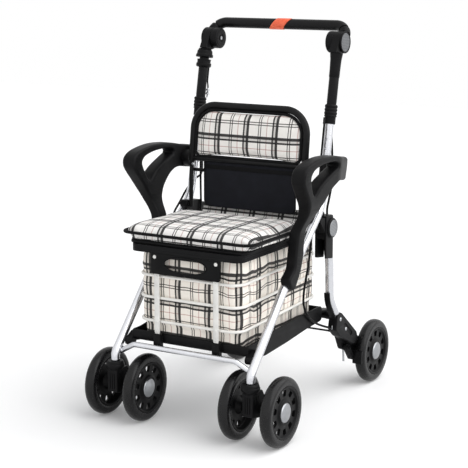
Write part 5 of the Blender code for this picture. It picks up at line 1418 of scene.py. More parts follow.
def rear_of_tube(z):
    """Where the rear of the main tube lies at a height above its knee."""
    line = main_line(1)
    for a, b in zip(line, line[1:]):
        if b.z <= z <= a.z:
            y = b.y + (a.y - b.y) * (z - b.z) / (a.z - b.z)
            return y + TUBE_R / (a - b).normalized().z
    return line[0].y


def swung(point, angle):
    """A place of the rear frame after it has folded forwards by an angle."""
    y, z = point[0] - FOLD[0], point[1] - FOLD[1]
    c, s = math.cos(angle), math.sin(angle)
    return FOLD[0] + y * c + z * s, FOLD[1] + z * c - y * s


class ROLLATOR_OT_joints(Operator):
    """Makes the forked blocks behind the main tubes, with their saddles and the caps over the fold pins"""

    bl_idname = "rollator.joints"
    bl_label = "Fold Joints"

    def execute(self, context):
        front, rear = 0.3155, 0.35
        top, step = 0.44, 0.449
        inner, outer = STEM_X - 0.0181, STEM_X + 0.0106
        tube_y = rear_of_tube(top)
        heel = (front + 0.004, 0.402, 0.003)
        body = hull(
            (front + 0.003, 0.347, 0.003), (rear - 0.003, 0.343, 0.003), (rear - 0.006, top - 0.006, 0.006),
            (front + 0.002, top - 0.002, 0.002),
        )
        saddle = hull(
            (0.27, 0.446, 0.0085), (tube_y - 0.006, step - 0.007, 0.007),
            (front + 0.006, step - 0.006, 0.006), heel
        )
        cheek = hull((tube_y - 0.004, top - 0.008, 0.006), (front + 0.004, top - 0.009, 0.006), heel)
        parts = (
            ("joint_block_body", body, inner, outer, 0.0018),
            ("joint_saddle", saddle, STEM_X - 0.0197, REAR_LEG_X + 0.0025, 0.0016),
            ("joint_cheek", cheek, REAR_LEG_X, outer - 0.0025, 0.0014),
        )
        low = 0.32
        back = (FOLD[0] + (FOLD[1] - low) * (0.358 - FOLD[0]) / (FOLD[1] - 0.322), low)
        room = TUBE_R + 0.0004
        mouth = hull((*FOLD, 0.0155), (*back, room), (*swung(back, math.radians(37)), room))
        for name, side in SIDES.items():
            for part, outline, x0, x1, edge in parts:
                cuts = [
                    tube_room(side), slab(mouth, side * (REAR_LEG_X - room), side * (REAR_LEG_X + room), 0)
                ]
                cuts.append(bar(side * (STEM_X - 0.0161), side * (outer + 0.02), *FOLD, 0.0052))
                block = slab(outline, side * x0, side * x1, edge, 3)
                moulding(f"{part}_{name}", block, "main_frame", f"joint_block_{name}", cuts)
            self.cap(name, side, outer + CLEAR)
            at = (side * (STEM_X - 0.0197), 0.275, 0.445)
            screw(f"saddle_screw_{name}", at, (-side, 0, 0), 0.0042, "main_frame", rise=0.0014)
        return {"FINISHED"}

    def cap(self, name, side, inner):
        face = inner + 0.005
        floor = face - 0.002
        pin_end = STEM_X - 0.0158
        at = facing(side, FOLD)
        rim = [
            (0, floor), (0.0186, floor), (0.019, face - 0.0002), (0.0204, face - 0.0006),
            (0.0222, face - 0.0026), (0.023, inner + 0.0012), (0.023, inner), (0.005, inner),
            (0.005, pin_end), (0, pin_end),
        ]
        cap = solid(f"joint_cap_{name}", lathe(eased(rim, 0.0004), at, 72), crease=50)
        settle(cap, "main_frame", "black_nylon", f"block_cap_{name}")
        ring = [
            (0.0163, floor), (0.0185, floor), (0.0185, face - 0.0003), (0.0178, face),
            (0.0168, face - 0.0003),
        ]
        ring = lathe(ring, at, 72, closed=True)
        piece(f"joint_cap_ring_{name}", ring, "main_frame", "chrome_cap")
        disc = [
            (0, face - 0.0007), (0.008, face - 0.0008), (0.0164, face - 0.0011), (0.0164, floor), (0, floor)
        ]
        piece(
            f"joint_cap_face_{name}", lathe(disc, at, 64), "main_frame", "knurled_cap",
            crease=50,
        )


# Rear frame


class ROLLATOR_OT_rear_frame(Operator):
    """Makes the rear legs, the moulded wheel brackets, the tubes between them and the brake shoes"""

    bl_idname = "rollator.rear_frame"
    bl_label = "Rear Frame"

    def execute(self, context):
        for name, side in SIDES.items():
            self.leg(name, side)
            self.bracket(name, side)
            self.hardware(name, side)
            self.shoe(name, side)
        half = REAR_LEG_X - 0.0115
        for node, at, radius, sides, end_radius, end_sides, long in (
            ("rear_cross_tube", CROSS_TUBE, 0.008, 28, 0.0087, 28, 0.012),
            ("tie_rod", TIE_ROD, 0.00225, 20, 0.0031, 6, 0.009),
        ):
            rods = [bar(-half, half, *at, radius, sides)]
            for side in SIDES.values():
                rods.append(bar(side * (half - long), side * (half - 0.0002), *at, end_radius, end_sides))
            piece(f"{node}_body", joined(*rods), "rear_frame", "black_powder_coat", node)
        return {"FINISHED"}

    def leg(self, name, side):
        x = side * REAR_LEG_X
        leg = solid(
            f"rear_leg_tube_{name}", tube(leg_line(side), TUBE_R), [bar(x - 0.02, x + 0.02, *FOLD, 0.0052)]
        )
        settle(leg, "rear_frame", "anodised_tube", f"rear_leg_{name}")
        eye = [(0.0052, -TUBE_R), (0.0142, -TUBE_R), (0.015, 0.0008 - TUBE_R)]
        eye += [(radius, -height) for radius, height in reversed(eye)]
        eye = lathe(eye, Matrix.Translation((x, *FOLD)) @ ALONG_X, 40, closed=True)
        piece(f"rear_leg_eye_{name}", eye, "rear_frame", "black_nylon")
        bush = tube([(x, 0.3435, 0.402), (x, 0.3536, 0.346)], TUBE_R + 0.0002, 32)
        piece(f"rear_leg_bush_{name}", bush, "rear_frame", "black_nylon")

    def bracket(self, name, side):
        x = side * REAR_LEG_X
        node = f"rear_bracket_{name}"
        lighter = hull(*mm((420, 168, 5.2), (452, 142, 6)))
        cuts = [tube(leg_line(side), TUBE_R + CLEAR, 32)]
        cuts += [slab(lighter, x + face * 0.0088, x + face * 0.02, 0) for face in (-1, 1)]
        neck = hull(*mm((396, 186, 16.5), (470, 128, 16.5), (383, 169, 7.7), (402, 154, 9)))
        neck = slab(neck, x - 0.0112, x + 0.0112, 0.0026, 3)
        moulding(f"bracket_neck_{name}", neck, "rear_frame", node, cuts, 0.0006)
        x0, x1 = side * (STEM_X - 0.0216), side * (STEM_X - 0.0101)
        dished = hull(*mm((462, 133, 9), (536, 84, 7.5)))
        cut = slab(dished, x0 + side * -0.001, x0 + side * 0.0016, 0)
        arm = hull((0.44, 0.15, 0.02), (0.452, 0.112, 0.012), (REAR_AXLE_Y, WHEEL_R, 0.017))
        moulding(f"bracket_arm_{name}", slab(arm, x0, x1, 0.0022, 3), "rear_frame", node, [cut], 0.0005)
        line = [p for p in leg_line(side) if p.z < 0.262]
        near, far = [], []
        for before, here, after in zip(line[:1] + line, line, line[1:] + line[-1:]):
            along = (after - before).normalized()
            for row, reach in ((near, TUBE_R + 0.001), (far, TUBE_R + 0.0048)):
                row.append((here.y + reach * along.z, here.z - reach * along.y))
        moulding(f"bracket_tongue_{name}", slab(near + far[::-1], x - 0.007, x + 0.007), "rear_frame")
        clip = slab(
            mm((452, 98), (453.5, 98), (456, 70), (454.5, 69.5)), x1 - side * 0.004, x1 + side * 0.001,
            0.0003, 1,
        )
        piece(f"spring_end_{name}", clip, "rear_frame", "zinc_screw")
        start_x = x0 + side * 0.003
        axle = bar(start_x, side * (REAR_WHEEL_X - CLEAR + 0.0037), REAR_AXLE_Y, WHEEL_R, 0.0038, 24)
        piece(f"rear_axle_{name}", axle, "rear_frame", "zinc_screw")
        stub = bar(start_x, x1 + side * 0.0095, *BRAKE_PIVOT, 0.0037, 24)
        piece(f"brake_stub_{name}", stub, "rear_frame", "zinc_screw")

    def hardware(self, name, side):
        """The axle's boss and nut, the bracket's screws and rivet, and the brake cable's eyelet."""
        x = side * REAR_LEG_X
        x0 = side * (STEM_X - 0.0216)
        out, back = (side, 0, 0), (-side, 0, 0)
        boss = lathe(
            mm((0, 0), (15, 0), (15.6, 0.6), (15.6, 1.4), (14.8, 2), (6, 2), (0, 2)),
            turned_to((x0, REAR_AXLE_Y, WHEEL_R), back), 40,
        )
        piece(f"axle_boss_{name}", boss, "rear_frame", "black_abs")
        end = nut((x0 - side * 0.0019, REAR_AXLE_Y, WHEEL_R), back, 0.006, 0.0044)
        piece(f"axle_nut_{name}", end, "rear_frame", "zinc_screw", crease=25)
        for kind, at, radius in (("screw", (0.397, 0.187), 0.0045), ("low_screw", (0.425, 0.158), 0.0042)):
            screw(f"bracket_{kind}_{name}", (x + side * 0.0112, *at), out, radius, "rear_frame")
        screw(
            f"bracket_rivet_{name}", (x - side * 0.0112, 0.397, 0.187), back, 0.0045, "rear_frame",
            socket=False,
        )
        eyelet = mm((4, 0), (5.2, 0), (5.8, 0.7), (5.8, 1.8), (5, 2.4), (4, 2.4))
        eyelet = lathe(eyelet, turned_to((side * 0.1668, 0.3795, 0.1705), out), 36, closed=True)
        piece(f"cable_eyelet_{name}", eyelet, "rear_frame", "zinc_screw")

    def shoe(self, name, side):
        inner = side * (STEM_X - 0.0098)
        outer = side * (STEM_X - 0.0011)
        body = f"brake_shoe_{name}"
        bores = [
            bar(inner - side * 0.001, outer + side * 0.02, *BRAKE_PIVOT, r, 24) for r in (0.0042, 0.0044)
        ]
        hub = bar(inner, outer, *BRAKE_PIVOT, 0.0075, 40)
        moulding(f"shoe_hub_{name}", hub, body, body, bores[:1], 0.0007)
        near, far = WHEEL_R + 0.0044, WHEEL_R + 0.0088
        pad = arc(
            REAR_AXLE_Y, WHEEL_R, near, 168, 189.6, 10
        ) + arc(REAR_AXLE_Y, WHEEL_R, far, 189.6, 168, 10)
        wheel_inner = REAR_WHEEL_X - WHEEL_HALF
        pad = slab(pad, side * (wheel_inner + 0.001), side * (wheel_inner + 2 * WHEEL_HALF - 0.001), 0.001)
        grooves = []
        for turn in (172, 176, 180, 184):
            a = math.radians(turn)
            y, z = REAR_AXLE_Y + near * math.cos(a), WHEEL_R + near * math.sin(a)
            grooves.append(bar(side * 0.1, side * 0.25, y, z, 0.0008, 8))
        shoe = solid(f"shoe_pad_{name}", pad, [joined(*grooves)])
        settle(shoe, body, "black_nylon")
        outline = hull((*BRAKE_PIVOT, 0.005), (REAR_AXLE_Y - far + 0.0015, WHEEL_R, 0.0045))
        arm = slab(outline, inner, side * (wheel_inner + 0.004), 0.001)
        moulding(f"shoe_arm_{name}", arm, body, cutters=bores[1:])


# Padding


def stuffed(obj, cap, voxel, held=None):
    """Fills a closed form as if with foam: its skin swells from within, and no point moves past the cap."""
    step = obj.modifiers.new("skin", "REMESH")
    step.mode = "VOXEL"
    step.voxel_size = voxel
    keep_modifiers(obj)
    scene = bpy.context.scene
    rest = [v.co.copy() for v in obj.data.vertices]
    cloth = obj.modifiers.new("cloth", "CLOTH")
    if held:
        group = obj.vertex_groups.new(name="held")
        group.add([k for k, co in enumerate(rest) if held(co)], 1.0, "REPLACE")
        cloth.settings.vertex_group_mass = "held"
    cloth.settings.quality = 6
    cloth.settings.use_pressure = True
    cloth.settings.uniform_pressure_force = 4.0
    cloth.settings.effector_weights.gravity = 0
    cloth.settings.tension_stiffness = 20
    cloth.settings.compression_stiffness = 20
    cloth.settings.bending_stiffness = 2.0
    for number in range(1, 21):
        scene.frame_set(number)
    keep_modifiers(obj)
    for vert, was in zip(obj.data.vertices, rest):
        move = vert.co - was
        if move.length > cap:
            vert.co = was + move.normalized() * cap
    scene.frame_set(1)
    step = obj.modifiers.new("soft", "CORRECTIVE_SMOOTH")
    step.factor = 0.5
    step.iterations = 4
    step.use_only_smooth = True
    step = obj.modifiers.new("fine", "SUBSURF")
    step.levels = 1
    step.render_levels = 1
    keep_modifiers(obj)
    obj.data.shade_smooth()
    return obj


def layers(outline, levels, lift):
    """Copies of an outline, each drawn in by an inset and raised to the level's height."""
    cx = sum(p[0] for p in outline) / len(outline)
    cy = sum(p[1] for p in outline) / len(outline)
    half_x = max(p[0] for p in outline) - cx
    half_y = max(p[1] for p in outline) - cy
    rings = []
    for inset, height in levels:
        sx, sy = 1 - inset / half_x, 1 - inset / half_y
        rings.append([lift(cx + (x - cx) * sx, cy + (y - cy) * sy, height) for x, y in outline])
    return rings


# Back


def back_y(z):
    """The lean of the backrest's frame."""
    return 0.2725 + (0.292 - 0.2725) / (BACK_TOP_Z - BACK_KNEE_Z) * (z - BACK_KNEE_Z)


CROSSBAR_Y = back_y(CROSSBAR_Z) + BACK_TUBE_R + CROSSBAR_R + CLEAR


class ROLLATOR_OT_backrest(Operator):
    """Makes the backrest: its sleeved frame, the padded panel, the crossbar and the hanging pouch"""

    bl_idname = "rollator.backrest"
    bl_label = "Backrest"

    def execute(self, context):
        self.frame()
        self.cushion()
        self.pouch()
        return {"FINISHED"}

    def frame(self):
        feet = [(0.2715, 0.44), (0.2725, BACK_KNEE_Z), (0.292, BACK_TOP_Z)]
        corners = [(-BACK_HALF, *p) for p in feet] + [(BACK_HALF, *p) for p in reversed(feet)]
        line = bend(corners, [0.08, BACK_BEND_R, BACK_BEND_R, 0.08])
        frame = tube(line, BACK_TUBE_R, 20)
        piece("backrest_tube", frame, "main_frame", "black_powder_coat", "backrest_frame")
        sleeve = []
        for before, here in zip([line[0]] + line, line):
            for low, high in ((before, here), (here, before)):
                if low.z < BACK_SLEEVE_LOW_Z < high.z:
                    sleeve.append(low.lerp(high, (BACK_SLEEVE_LOW_Z - low.z) / (high.z - low.z)))
            if here.z > BACK_SLEEVE_LOW_Z:
                sleeve.append(here)
        rounded = []
        for end, inward in ((sleeve[0], sleeve[1]), (sleeve[-1], sleeve[-2])):
            rounded.append(end.lerp(inward, 0.0012 / (inward - end).length))
        whole = [sleeve[0], rounded[0]] + sleeve[1:-1] + [rounded[1], sleeve[-1]]
        end_r = BACK_SLEEVE_R - 0.001
        radii = [end_r] + [BACK_SLEEVE_R] * (len(whole) - 2) + [end_r]
        piece(
            "backrest_sleeve", tube(whole, radii, 36), "main_frame", "nbr_foam",
            crease=50,
        )
        rail = bar(-BACK_HALF, BACK_HALF, back_y(RAIL_Z), RAIL_Z, RAIL_R)
        piece("backrest_rail", rail, "main_frame", "black_powder_coat")
        wide = BACK_HALF - 0.006
        sleeve = [(0.0046, -wide), (0.0052, -wide), (0.006, 0.001 - wide)]
        sleeve += [(radius, -end) for radius, end in reversed(sleeve)]
        sleeve = lathe(sleeve, Matrix.Translation((0, back_y(RAIL_Z), RAIL_Z)) @ ALONG_X, 32, closed=True)
        piece("backrest_rail_sleeve", sleeve, "main_frame", "nbr_foam", crease=50)
        half = STEM_X - 0.0206
        tip = half - 0.004
        caps = [bar(side * tip, side * half, CROSSBAR_Y, CROSSBAR_Z, 0.0046) for side in SIDES.values()]
        bars = joined(bar(0.0005 - half, half - 0.0005, CROSSBAR_Y, CROSSBAR_Z, CROSSBAR_R), *caps)
        piece("crossbar_tube", bars, "main_frame", "black_powder_coat", "crossbar")
        for name, side in SIDES.items():
            at = (side * (BACK_HALF - 0.004), back_y(0.539) - 0.003, 0.539)
            screw(f"crossbar_bolt_{name}", at, (0, -1, 0), 0.0036, "main_frame")
            at = (side * (BACK_HALF + 0.0049), 0.2718, 0.4465)
            screw(f"backrest_foot_bolt_{name}", at, (side, 0, 0), 0.0038, "main_frame", rise=0.0012)

    def cushion(self):
        play = 0.0006
        half = BACK_HALF - BACK_SLEEVE_R - play
        top = BACK_TOP_Z - BACK_SLEEVE_R - play
        low = RAIL_Z + RAIL_R + play
        outline = []
        for side, z, radius, turn, steps in (
            (1, top, BACK_BEND_R - BACK_SLEEVE_R, 0, 14), (-1, top, BACK_BEND_R - BACK_SLEEVE_R, 90, 14),
            (-1, low, 0.012, 180, 8), (1, low, 0.012, 270, 8),
        ):
            inward = -radius if z == top else radius
            outline += arc(side * (half - radius), z + inward, radius, turn, turn + 90, steps)
        outline = spread(outline, 0.004)
        thick = 0.0065

        def lift(x, z, depth):
            return (x, back_y(z) + depth, z)

        levels = [
            (0.06, thick + 0.0006), (0.01, thick), (0.003, thick * 0.7), (0.0006, 0.001),
            (0.003, -thick * 0.7),
        ]
        levels += [(0.01, -thick), (0.028, -thick - 0.0022), (0.052, -thick - 0.0034)]
        pad = object_of("back_pad", skin(layers(outline, levels, lift)))
        pad = stuffed(pad, bpy.context.scene.rollator_padding.back_cap, 0.004)
        lay_cloth(pad, lambda here, normal: (here.x + 0.012, here.z * 1.006 - 0.006))
        settle(pad, "main_frame", "back_cloth", "backrest_cushion")
        binding("back_binding", layers(outline, [(0.002, -0.0028)], lift)[0], 0.0036, "main_frame", 14)

    def pouch(self):
        rear = CROSSBAR_Y - CROSSBAR_R - 0.0006
        top = RAIL_Z - RAIL_R - 0.0006
        low = 0.445
        half = 0.118
        front = []
        for k in range(27):
            t = k / 26
            z = low + (top - low) * t
            row = []
            for n in range(61):
                u = -1 + 2 * n / 60
                pull = 0.006 * max(0.0, (0.12 - t) / 0.12) ** 2
                x = u * (half - pull) + POUCH_X
                sag = 0.0009 * math.sin(5.1 * u + 1.3) * (1 - t) + 0.0007 * noise.noise(
                    Vector((x * 30, z * 26, 2.0))
                )
                row.append((x, rear - 0.0038 + 0.0022 * t - abs(sag) + 0.0012 * (abs(u) ** 8), z))
            front.append(row)
        back = [[(x, rear - 0.0008, z) for x, y, z in row] for row in front]
        panel = solid("pouch_panel", two_sided(front, back), crease=60)
        lay_cloth(panel, boxed)
        settle(panel, "main_frame", "oxford_cloth", "pouch")
        corner = 0.01
        y = rear - 0.0024
        left, right = POUCH_X - half, POUCH_X + half
        edge = [
            (left, rear - 0.0022, top - 0.0006), (left, y, low + corner), (left + corner, y, low + 0.0004)
        ]
        edge += [
            (right - corner, y, low + 0.0004), (right, y, low + corner),
            (right, rear - 0.0022, top - 0.0006),
        ]
        binding("pouch_binding", bend(edge, [0.008] * 4, 10), 0.0015, "main_frame", closed=False)
        share = 0.84
        y, z = rear - 0.0044 + 0.0022 * share, low + (top - low) * share
        strip = [(y - 0.0006, z), (y + 0.0012, z), (y + 0.0012, z + 0.009), (y - 0.0004, z + 0.009)]
        welt = slab(strip, 0.0095 - half, half + 0.0015, 0.0004)
        piece("pouch_welt", welt, "main_frame", "binding_tape")
        hook = arc(
            CROSSBAR_Y, CROSSBAR_Z, 0.0064, 180, -60, 24
        ) + arc(CROSSBAR_Y, CROSSBAR_Z, 0.0046, -60, 180, 24)
        for name, side in SIDES.items():
            loop = solid(
                f"pouch_sleeve_{name}", slab(hook, POUCH_X + side * 0.043, POUCH_X + side * 0.096, 0.0004)
            )
            lay_cloth(loop, self.round_crossbar)
            settle(loop, "main_frame", "grey_webbing", "pouch")

    def round_crossbar(self, here, normal):
        """Cloth laid flat from round the crossbar."""
        return here.x, math.atan2(here.z - CROSSBAR_Z, here.y - CROSSBAR_Y) * 0.006


# Seat


class ROLLATOR_OT_seat(Operator):
    """Makes the seat cushion with its piping, the board and hinges, the rim and the finger plate"""

    bl_idname = "rollator.seat"
    bl_label = "Seat"

    def execute(self, context):
        self.cushion()
        self.board()
        self.rim()
        self.plate()
        self.flap()
        return {"FINISHED"}

    def flap(self):
        """The strip of cloth that rises behind the seat to the pouch."""
        half, low = 0.128, 0.401
        rows = []
        for k in range(13):
            t = k / 12
            arch = math.sin(math.pi * t)
            row = []
            for n in range(65):
                x = (-1 + 2 * n / 64) * (half - 0.004 * t) + 0.003
                wave = 0.0016 * noise.noise(Vector((x * 26, t * 1.4, 4.0))) * arch
                row.append((x, 0.2625 + 0.03 * t + 0.002 * arch + wave, low + 0.052 * t - 0.004 * arch))
            rows.append(row)
        back = [[(x, y + 0.0012, z) for x, y, z in row] for row in rows]
        flap = solid("rear_flap", two_sided(rows, back), crease=60)
        lay_cloth(flap, lambda here, normal: (here.x + 0.004, 0.268 + here.z - 0.401))
        settle(flap, "main_frame", "seat_cloth")
        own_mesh(flap)

    def cushion(self):
        padding = bpy.context.scene.rollator_padding
        outline = spread(rounded_rectangle(SEAT_HALF, SEAT_FRONT_Y, SEAT_REAR_Y, 0.026), 0.004)
        low, seam = SEAT_LOW_Z, 0.424
        levels = [(0.06, low), (0.018, low), (0.0125, low + 0.0012), (0.01, low + 0.005)]
        for inset, rise in mm(
            (8, -6), (3, -2.5), (1, -0.6), (1, 0.6), (4.5, 3), (14, 7.2), (34, 11.2), (64, 13.8),
            (100, 14.6)
        ):
            levels.append((inset, seam + rise))
        pad = object_of("seat_pad", skin(layers(outline, levels, lambda x, y, z: (x, y, z))))
        pad = stuffed(pad, padding.seat_cap, 0.0045, held=lambda co: co.z < low + 0.0012)
        for vert in pad.data.vertices:
            vert.co.z = max(vert.co.z, low)

        def across(here, normal):
            drop = max(0.0, seam + 0.002 - here.z)
            if abs(normal.z) > 0.5 or here.z > seam + 0.006:
                return here.x + 0.004, here.y + 0.01
            if abs(normal.y) > abs(normal.x):
                return here.x + 0.004, here.y + 0.01 + math.copysign(drop, here.y - 0.13)
            return here.x + 0.004 + math.copysign(drop, here.x), here.y + 0.01

        lay_cloth(pad, across)
        settle(pad, "seat", "seat_cloth", "seat_cushion")
        edge = rounded_rectangle(SEAT_HALF - 0.001, SEAT_FRONT_Y + 0.001, SEAT_REAR_Y - 0.001, 0.025)
        line = []
        for x, y in spread(edge, 0.005):
            line.append((x, y, seam + 0.0004 * noise.noise(Vector((x * 22, y * 22, 0.5)))))
        binding("seat_piping", line, padding.piping, "seat", 16)
        under = [(x * 0.918, 0.135 + (y - 0.135) * 0.894, low + 0.001) for x, y, z in line]
        binding("seat_under_binding", under, 0.0024, "seat")

    def board(self):
        outline = rounded_rectangle(STEM_X - 0.0226, 0.0215, 0.252, 0.018, 8)
        moulding("seat_board_body", prism(outline, 0.4005, 0.406), "seat", "seat_board", edge=0.0012)
        for name, side in SIDES.items():
            x0 = side * 0.1 - 0.02
            leaf = slab(oblong(0.248, SEAT_HINGE[0], 0.4012, 0.4055), x0, x0 + 0.04, 0.0006)
            starts = [x0 + 0.0134 * k for k in range(3)]
            knuckles = [bar(x + 0.0002, x + 0.0128, *SEAT_HINGE, 0.0028) for x in starts]
            hinge = joined(leaf, *knuckles)
            piece(f"seat_hinge_{name}", hinge, "seat", "black_powder_coat")

    def rim(self):
        front, rear = 0.013, 0.2585
        low, top = 0.385, 0.4
        outer = rounded_rectangle(RIM_HALF, front, rear, 0.02, 8)
        inner = rounded_rectangle(RIM_HALF - 0.026, front + 0.026, rear - 0.026, 0.014, 8)
        flange_y = 0.017 + 0.003 + CLEAR
        cut = slab(oblong(0.007, flange_y, 0.339, 0.3863), -0.0863, 0.0863, 0)
        out = 0.0006
        around = rounded_rectangle(RIM_HALF + out, front - out, rear + out, 0.0206, 8)
        groove = tube([(x, y, 0.3925) for x, y in around], 0.0011, 8, closed=True)
        cuts = [prism(inner, low - 0.01, top + 0.01), cut, groove]
        moulding("seat_rim_ring", prism(outer, low, top), "main_frame", "seat_rim", cuts, 0.0014)
        flange = slab(oblong(flange_y, flange_y + 0.003, 0.3745, 0.389), -0.084, 0.084, 0.0006)
        moulding("seat_rim_flange", flange, "main_frame")
        lug = hull(*[(y, z, 0.003) for y in (0.225, 0.249) for z in (low + 0.004, top - 0.004)])
        for name, side in SIDES.items():
            arm = slab(lug, side * (RIM_HALF - 0.004), side * (STEM_X - TUBE_R + 0.003), 0.0014)
            moulding(f"seat_rim_lug_{name}", arm, "main_frame", cutters=[tube_room(side)])

    def plate(self):
        outline = rounded_rectangle(0.086, 0.339, 0.386, 0.005, 8)
        face = 0.017
        hole = skin([[(x, y, z) for x, z in self.oval(0.0)] for y in (face - 0.01, face + 0.02)])
        body = skin([[(x, y, z) for x, z in outline] for y in (face, face + 0.003)])
        plate = solid("finger_plate", body, [hole], edge=0.0009)
        settle(plate, "main_frame", "black_nylon", "handle_plate")
        lip = [(x, face + 0.0002, z) for x, z in self.oval(0.0009)]
        piece("finger_hole_lip", tube(lip, 0.0013, 10, closed=True), "main_frame", "black_nylon")
        for name, side in SIDES.items():
            at = (side * 0.0765, face, 0.3765)
            screw(f"plate_rivet_{name}", at, (0, -1, 0), 0.0042, "main_frame", "white_strap", socket=False)

    def oval(self, grow):
        """The finger hole, a true ellipse drawn larger by grow."""
        turns = [math.tau * k / 72 for k in range(72)]
        return [((0.0525 + grow) * math.cos(a), 0.364 + (0.0165 + grow) * math.sin(a)) for a in turns]


# Bag and basket


def crumple(obj):
    """Gives the bag, or what is sewn or tied to it, a mesh of its own."""
    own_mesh(obj)


class ROLLATOR_OT_bag(Operator):
    """Makes the bag in check cloth, the coated wire hoops round it, the front straps and the tray"""

    bl_idname = "rollator.bag"
    bl_label = "Bag and Basket"

    def execute(self, context):
        self.shell()
        self.hoops()
        self.straps()
        self.tray()
        return {"FINISHED"}

    def shell(self):
        step = 0.0035
        rows = 62
        pitch = (BAG_TOP_Z - BAG_LOW_Z) / rows
        ring = spread(rounded_rectangle(BAG_HALF, BAG_FRONT_Y, BAG_REAR_Y, BAG_CORNER_R), step)
        count = len(ring)
        normals = []
        for before, after in zip(ring[-1:] + ring, ring[1:] + ring[:1]):
            along = (Vector(after) - Vector(before)).normalized()
            normals.append(Vector((along.y, -along.x)))
        bm = bmesh.new()
        cloth = bm.loops.layers.uv.new("cloth")
        outer, inner = [], []
        for k in range(rows + 1):
            z = BAG_LOW_Z + (BAG_TOP_Z - BAG_LOW_Z) * k / rows
            low = max(0.0, 1 - k / 3)
            near, far = [], []
            for n, ((x, y), normal) in enumerate(zip(ring, normals)):
                out = self.swell(n * step, x, y, z) - 0.005 * low**2
                if z > BAG_TOP_Z - 0.003:
                    out = min(out, 0.0)
                near.append(bm.verts.new((x + normal.x * out, y + normal.y * out, z)))
                back = out - 0.0025
                far.append(
                    bm.verts.new((x + normal.x * back, y + normal.y * back, max(z, BAG_LOW_Z + 0.0025)))
                )
            outer.append(near)
            inner.append(far)

        def quad(corners, spots, index):
            face = bm.faces.new(corners)
            face.material_index = index
            for loop, spot in zip(face.loops, spots):
                loop[cloth].uv = spot

        for k in range(rows):
            for n in range(count):
                m = (n + 1) % count
                u0, u1 = n * step, (n + 1) * step
                v0, v1 = k * pitch, (k + 1) * pitch
                spots = []
                for u, v, at in ((u0, v0, n), (u1, v0, m), (u1, v1, m), (u0, v1, n)):
                    slip = self.drift(min(u, count * step - u), *ring[at], v)
                    spots.append((u + slip * 0.5, v + slip))
                quad((outer[k][n], outer[k][m], outer[k + 1][m], outer[k + 1][n]), spots, 0)
                if k:
                    lining = (inner[k][m], inner[k][n], inner[k + 1][n], inner[k + 1][m])
                    quad(lining, ((u1, v0), (u0, v0), (u0, v1), (u1, v1)), 1)
        for n in range(count):
            m = (n + 1) % count
            hem = (outer[-1][n], outer[-1][m], inner[-1][m], inner[-1][n])
            quad(hem, oblong(n * step, (n + 1) * step, 0, 0.0025), 1)
        for corners in (outer[0][::-1], inner[1]):
            quad(corners, [(vert.co.x, vert.co.y) for vert in corners], 1)
        for vert in inner[0]:
            bm.verts.remove(vert)
        bmesh.ops.recalc_face_normals(bm, faces=bm.faces)
        bag = solid("bag_shell", bm, crease=60)
        settle(bag, "main_frame", ("check_cloth", "black_lining"), "bag")
        crumple(bag)
        edge = rounded_rectangle(
            BAG_HALF - 0.001, BAG_FRONT_Y + 0.001, BAG_REAR_Y - 0.001, BAG_CORNER_R - 0.001
        )
        line = [(x, y, BAG_TOP_Z - 0.0022) for x, y in spread(edge, 0.006)]
        crumple(binding("bag_binding", line, 0.0021, "main_frame"))

    def swell(self, s, x, y, z):
        """How far the cloth stands off the straight wall at a place."""
        padding = bpy.context.scene.rollator_padding
        held = [*sorted(HOOPS.values()), BAG_TOP_Z - 0.004]
        tuck, tuck_z = -0.0042, 0.2225
        if z < 0.34:
            z = z - HOOP_RISE * (y - BAG_FRONT_Y) / (BAG_REAR_Y - BAG_FRONT_Y)
        if z < tuck_z:
            return tuck
        if z < held[0]:
            return tuck * (1 - (z - tuck_z) / (held[0] - tuck_z)) ** 2
        body, fold = 0.0, 0.0
        for low, high in zip(held, held[1:]):
            if low <= z <= high:
                arch = math.sin(math.pi * (z - low) / (high - low))
                body = padding.bag_fullness * arch**0.8
                fold = arch**0.5
        wave = noise.noise(Vector((s * 34, z * 7, 1.7))) * 0.75
        wave += noise.noise(Vector((s * 80, z * 13, 6.1))) * 0.25
        near = math.exp(-(((x - BAG_HALF) / 0.05) ** 2) - ((y - BAG_FRONT_Y) / 0.09) ** 2)
        return body - padding.bag_folds * fold * abs(wave) * (0.5 + 1.6 * near)

    def drift(self, s, x, y, z):
        """How far the threads have slipped along the cloth, which makes its stripes wave."""
        near = math.exp(-(((x - BAG_HALF) / 0.06) ** 2) - ((y - BAG_FRONT_Y - 0.04) / 0.1) ** 2)
        slip = noise.noise(Vector((s * 18, z * 9, 3.3))) + 0.4 * noise.noise(Vector((s * 47, z * 22, 8.8)))
        return (0.0025 + 0.0085 * near) * slip

    def hoops(self):
        out = HOOP_R + 0.0006
        depth = BAG_REAR_Y - BAG_FRONT_Y
        ring = rounded_rectangle(BAG_HALF + out, BAG_FRONT_Y - out, BAG_REAR_Y + out, BAG_CORNER_R + out)
        for name, z in HOOPS.items():
            line = [(x, y, z + HOOP_RISE * (y - BAG_FRONT_Y) / depth) for x, y in ring]
            wire = tube(line, HOOP_R, 20, closed=True)
            crumple(
                piece(f"hoop_wire_{name}", wire, "main_frame", "pvc_wire", f"hoop_{name}")
            )
            joint = bar(-0.008, 0.008, BAG_REAR_Y + out, z + HOOP_RISE, 0.0037, 20)
            crumple(piece(f"hoop_joint_{name}", joint, "main_frame", "pvc_wire"))

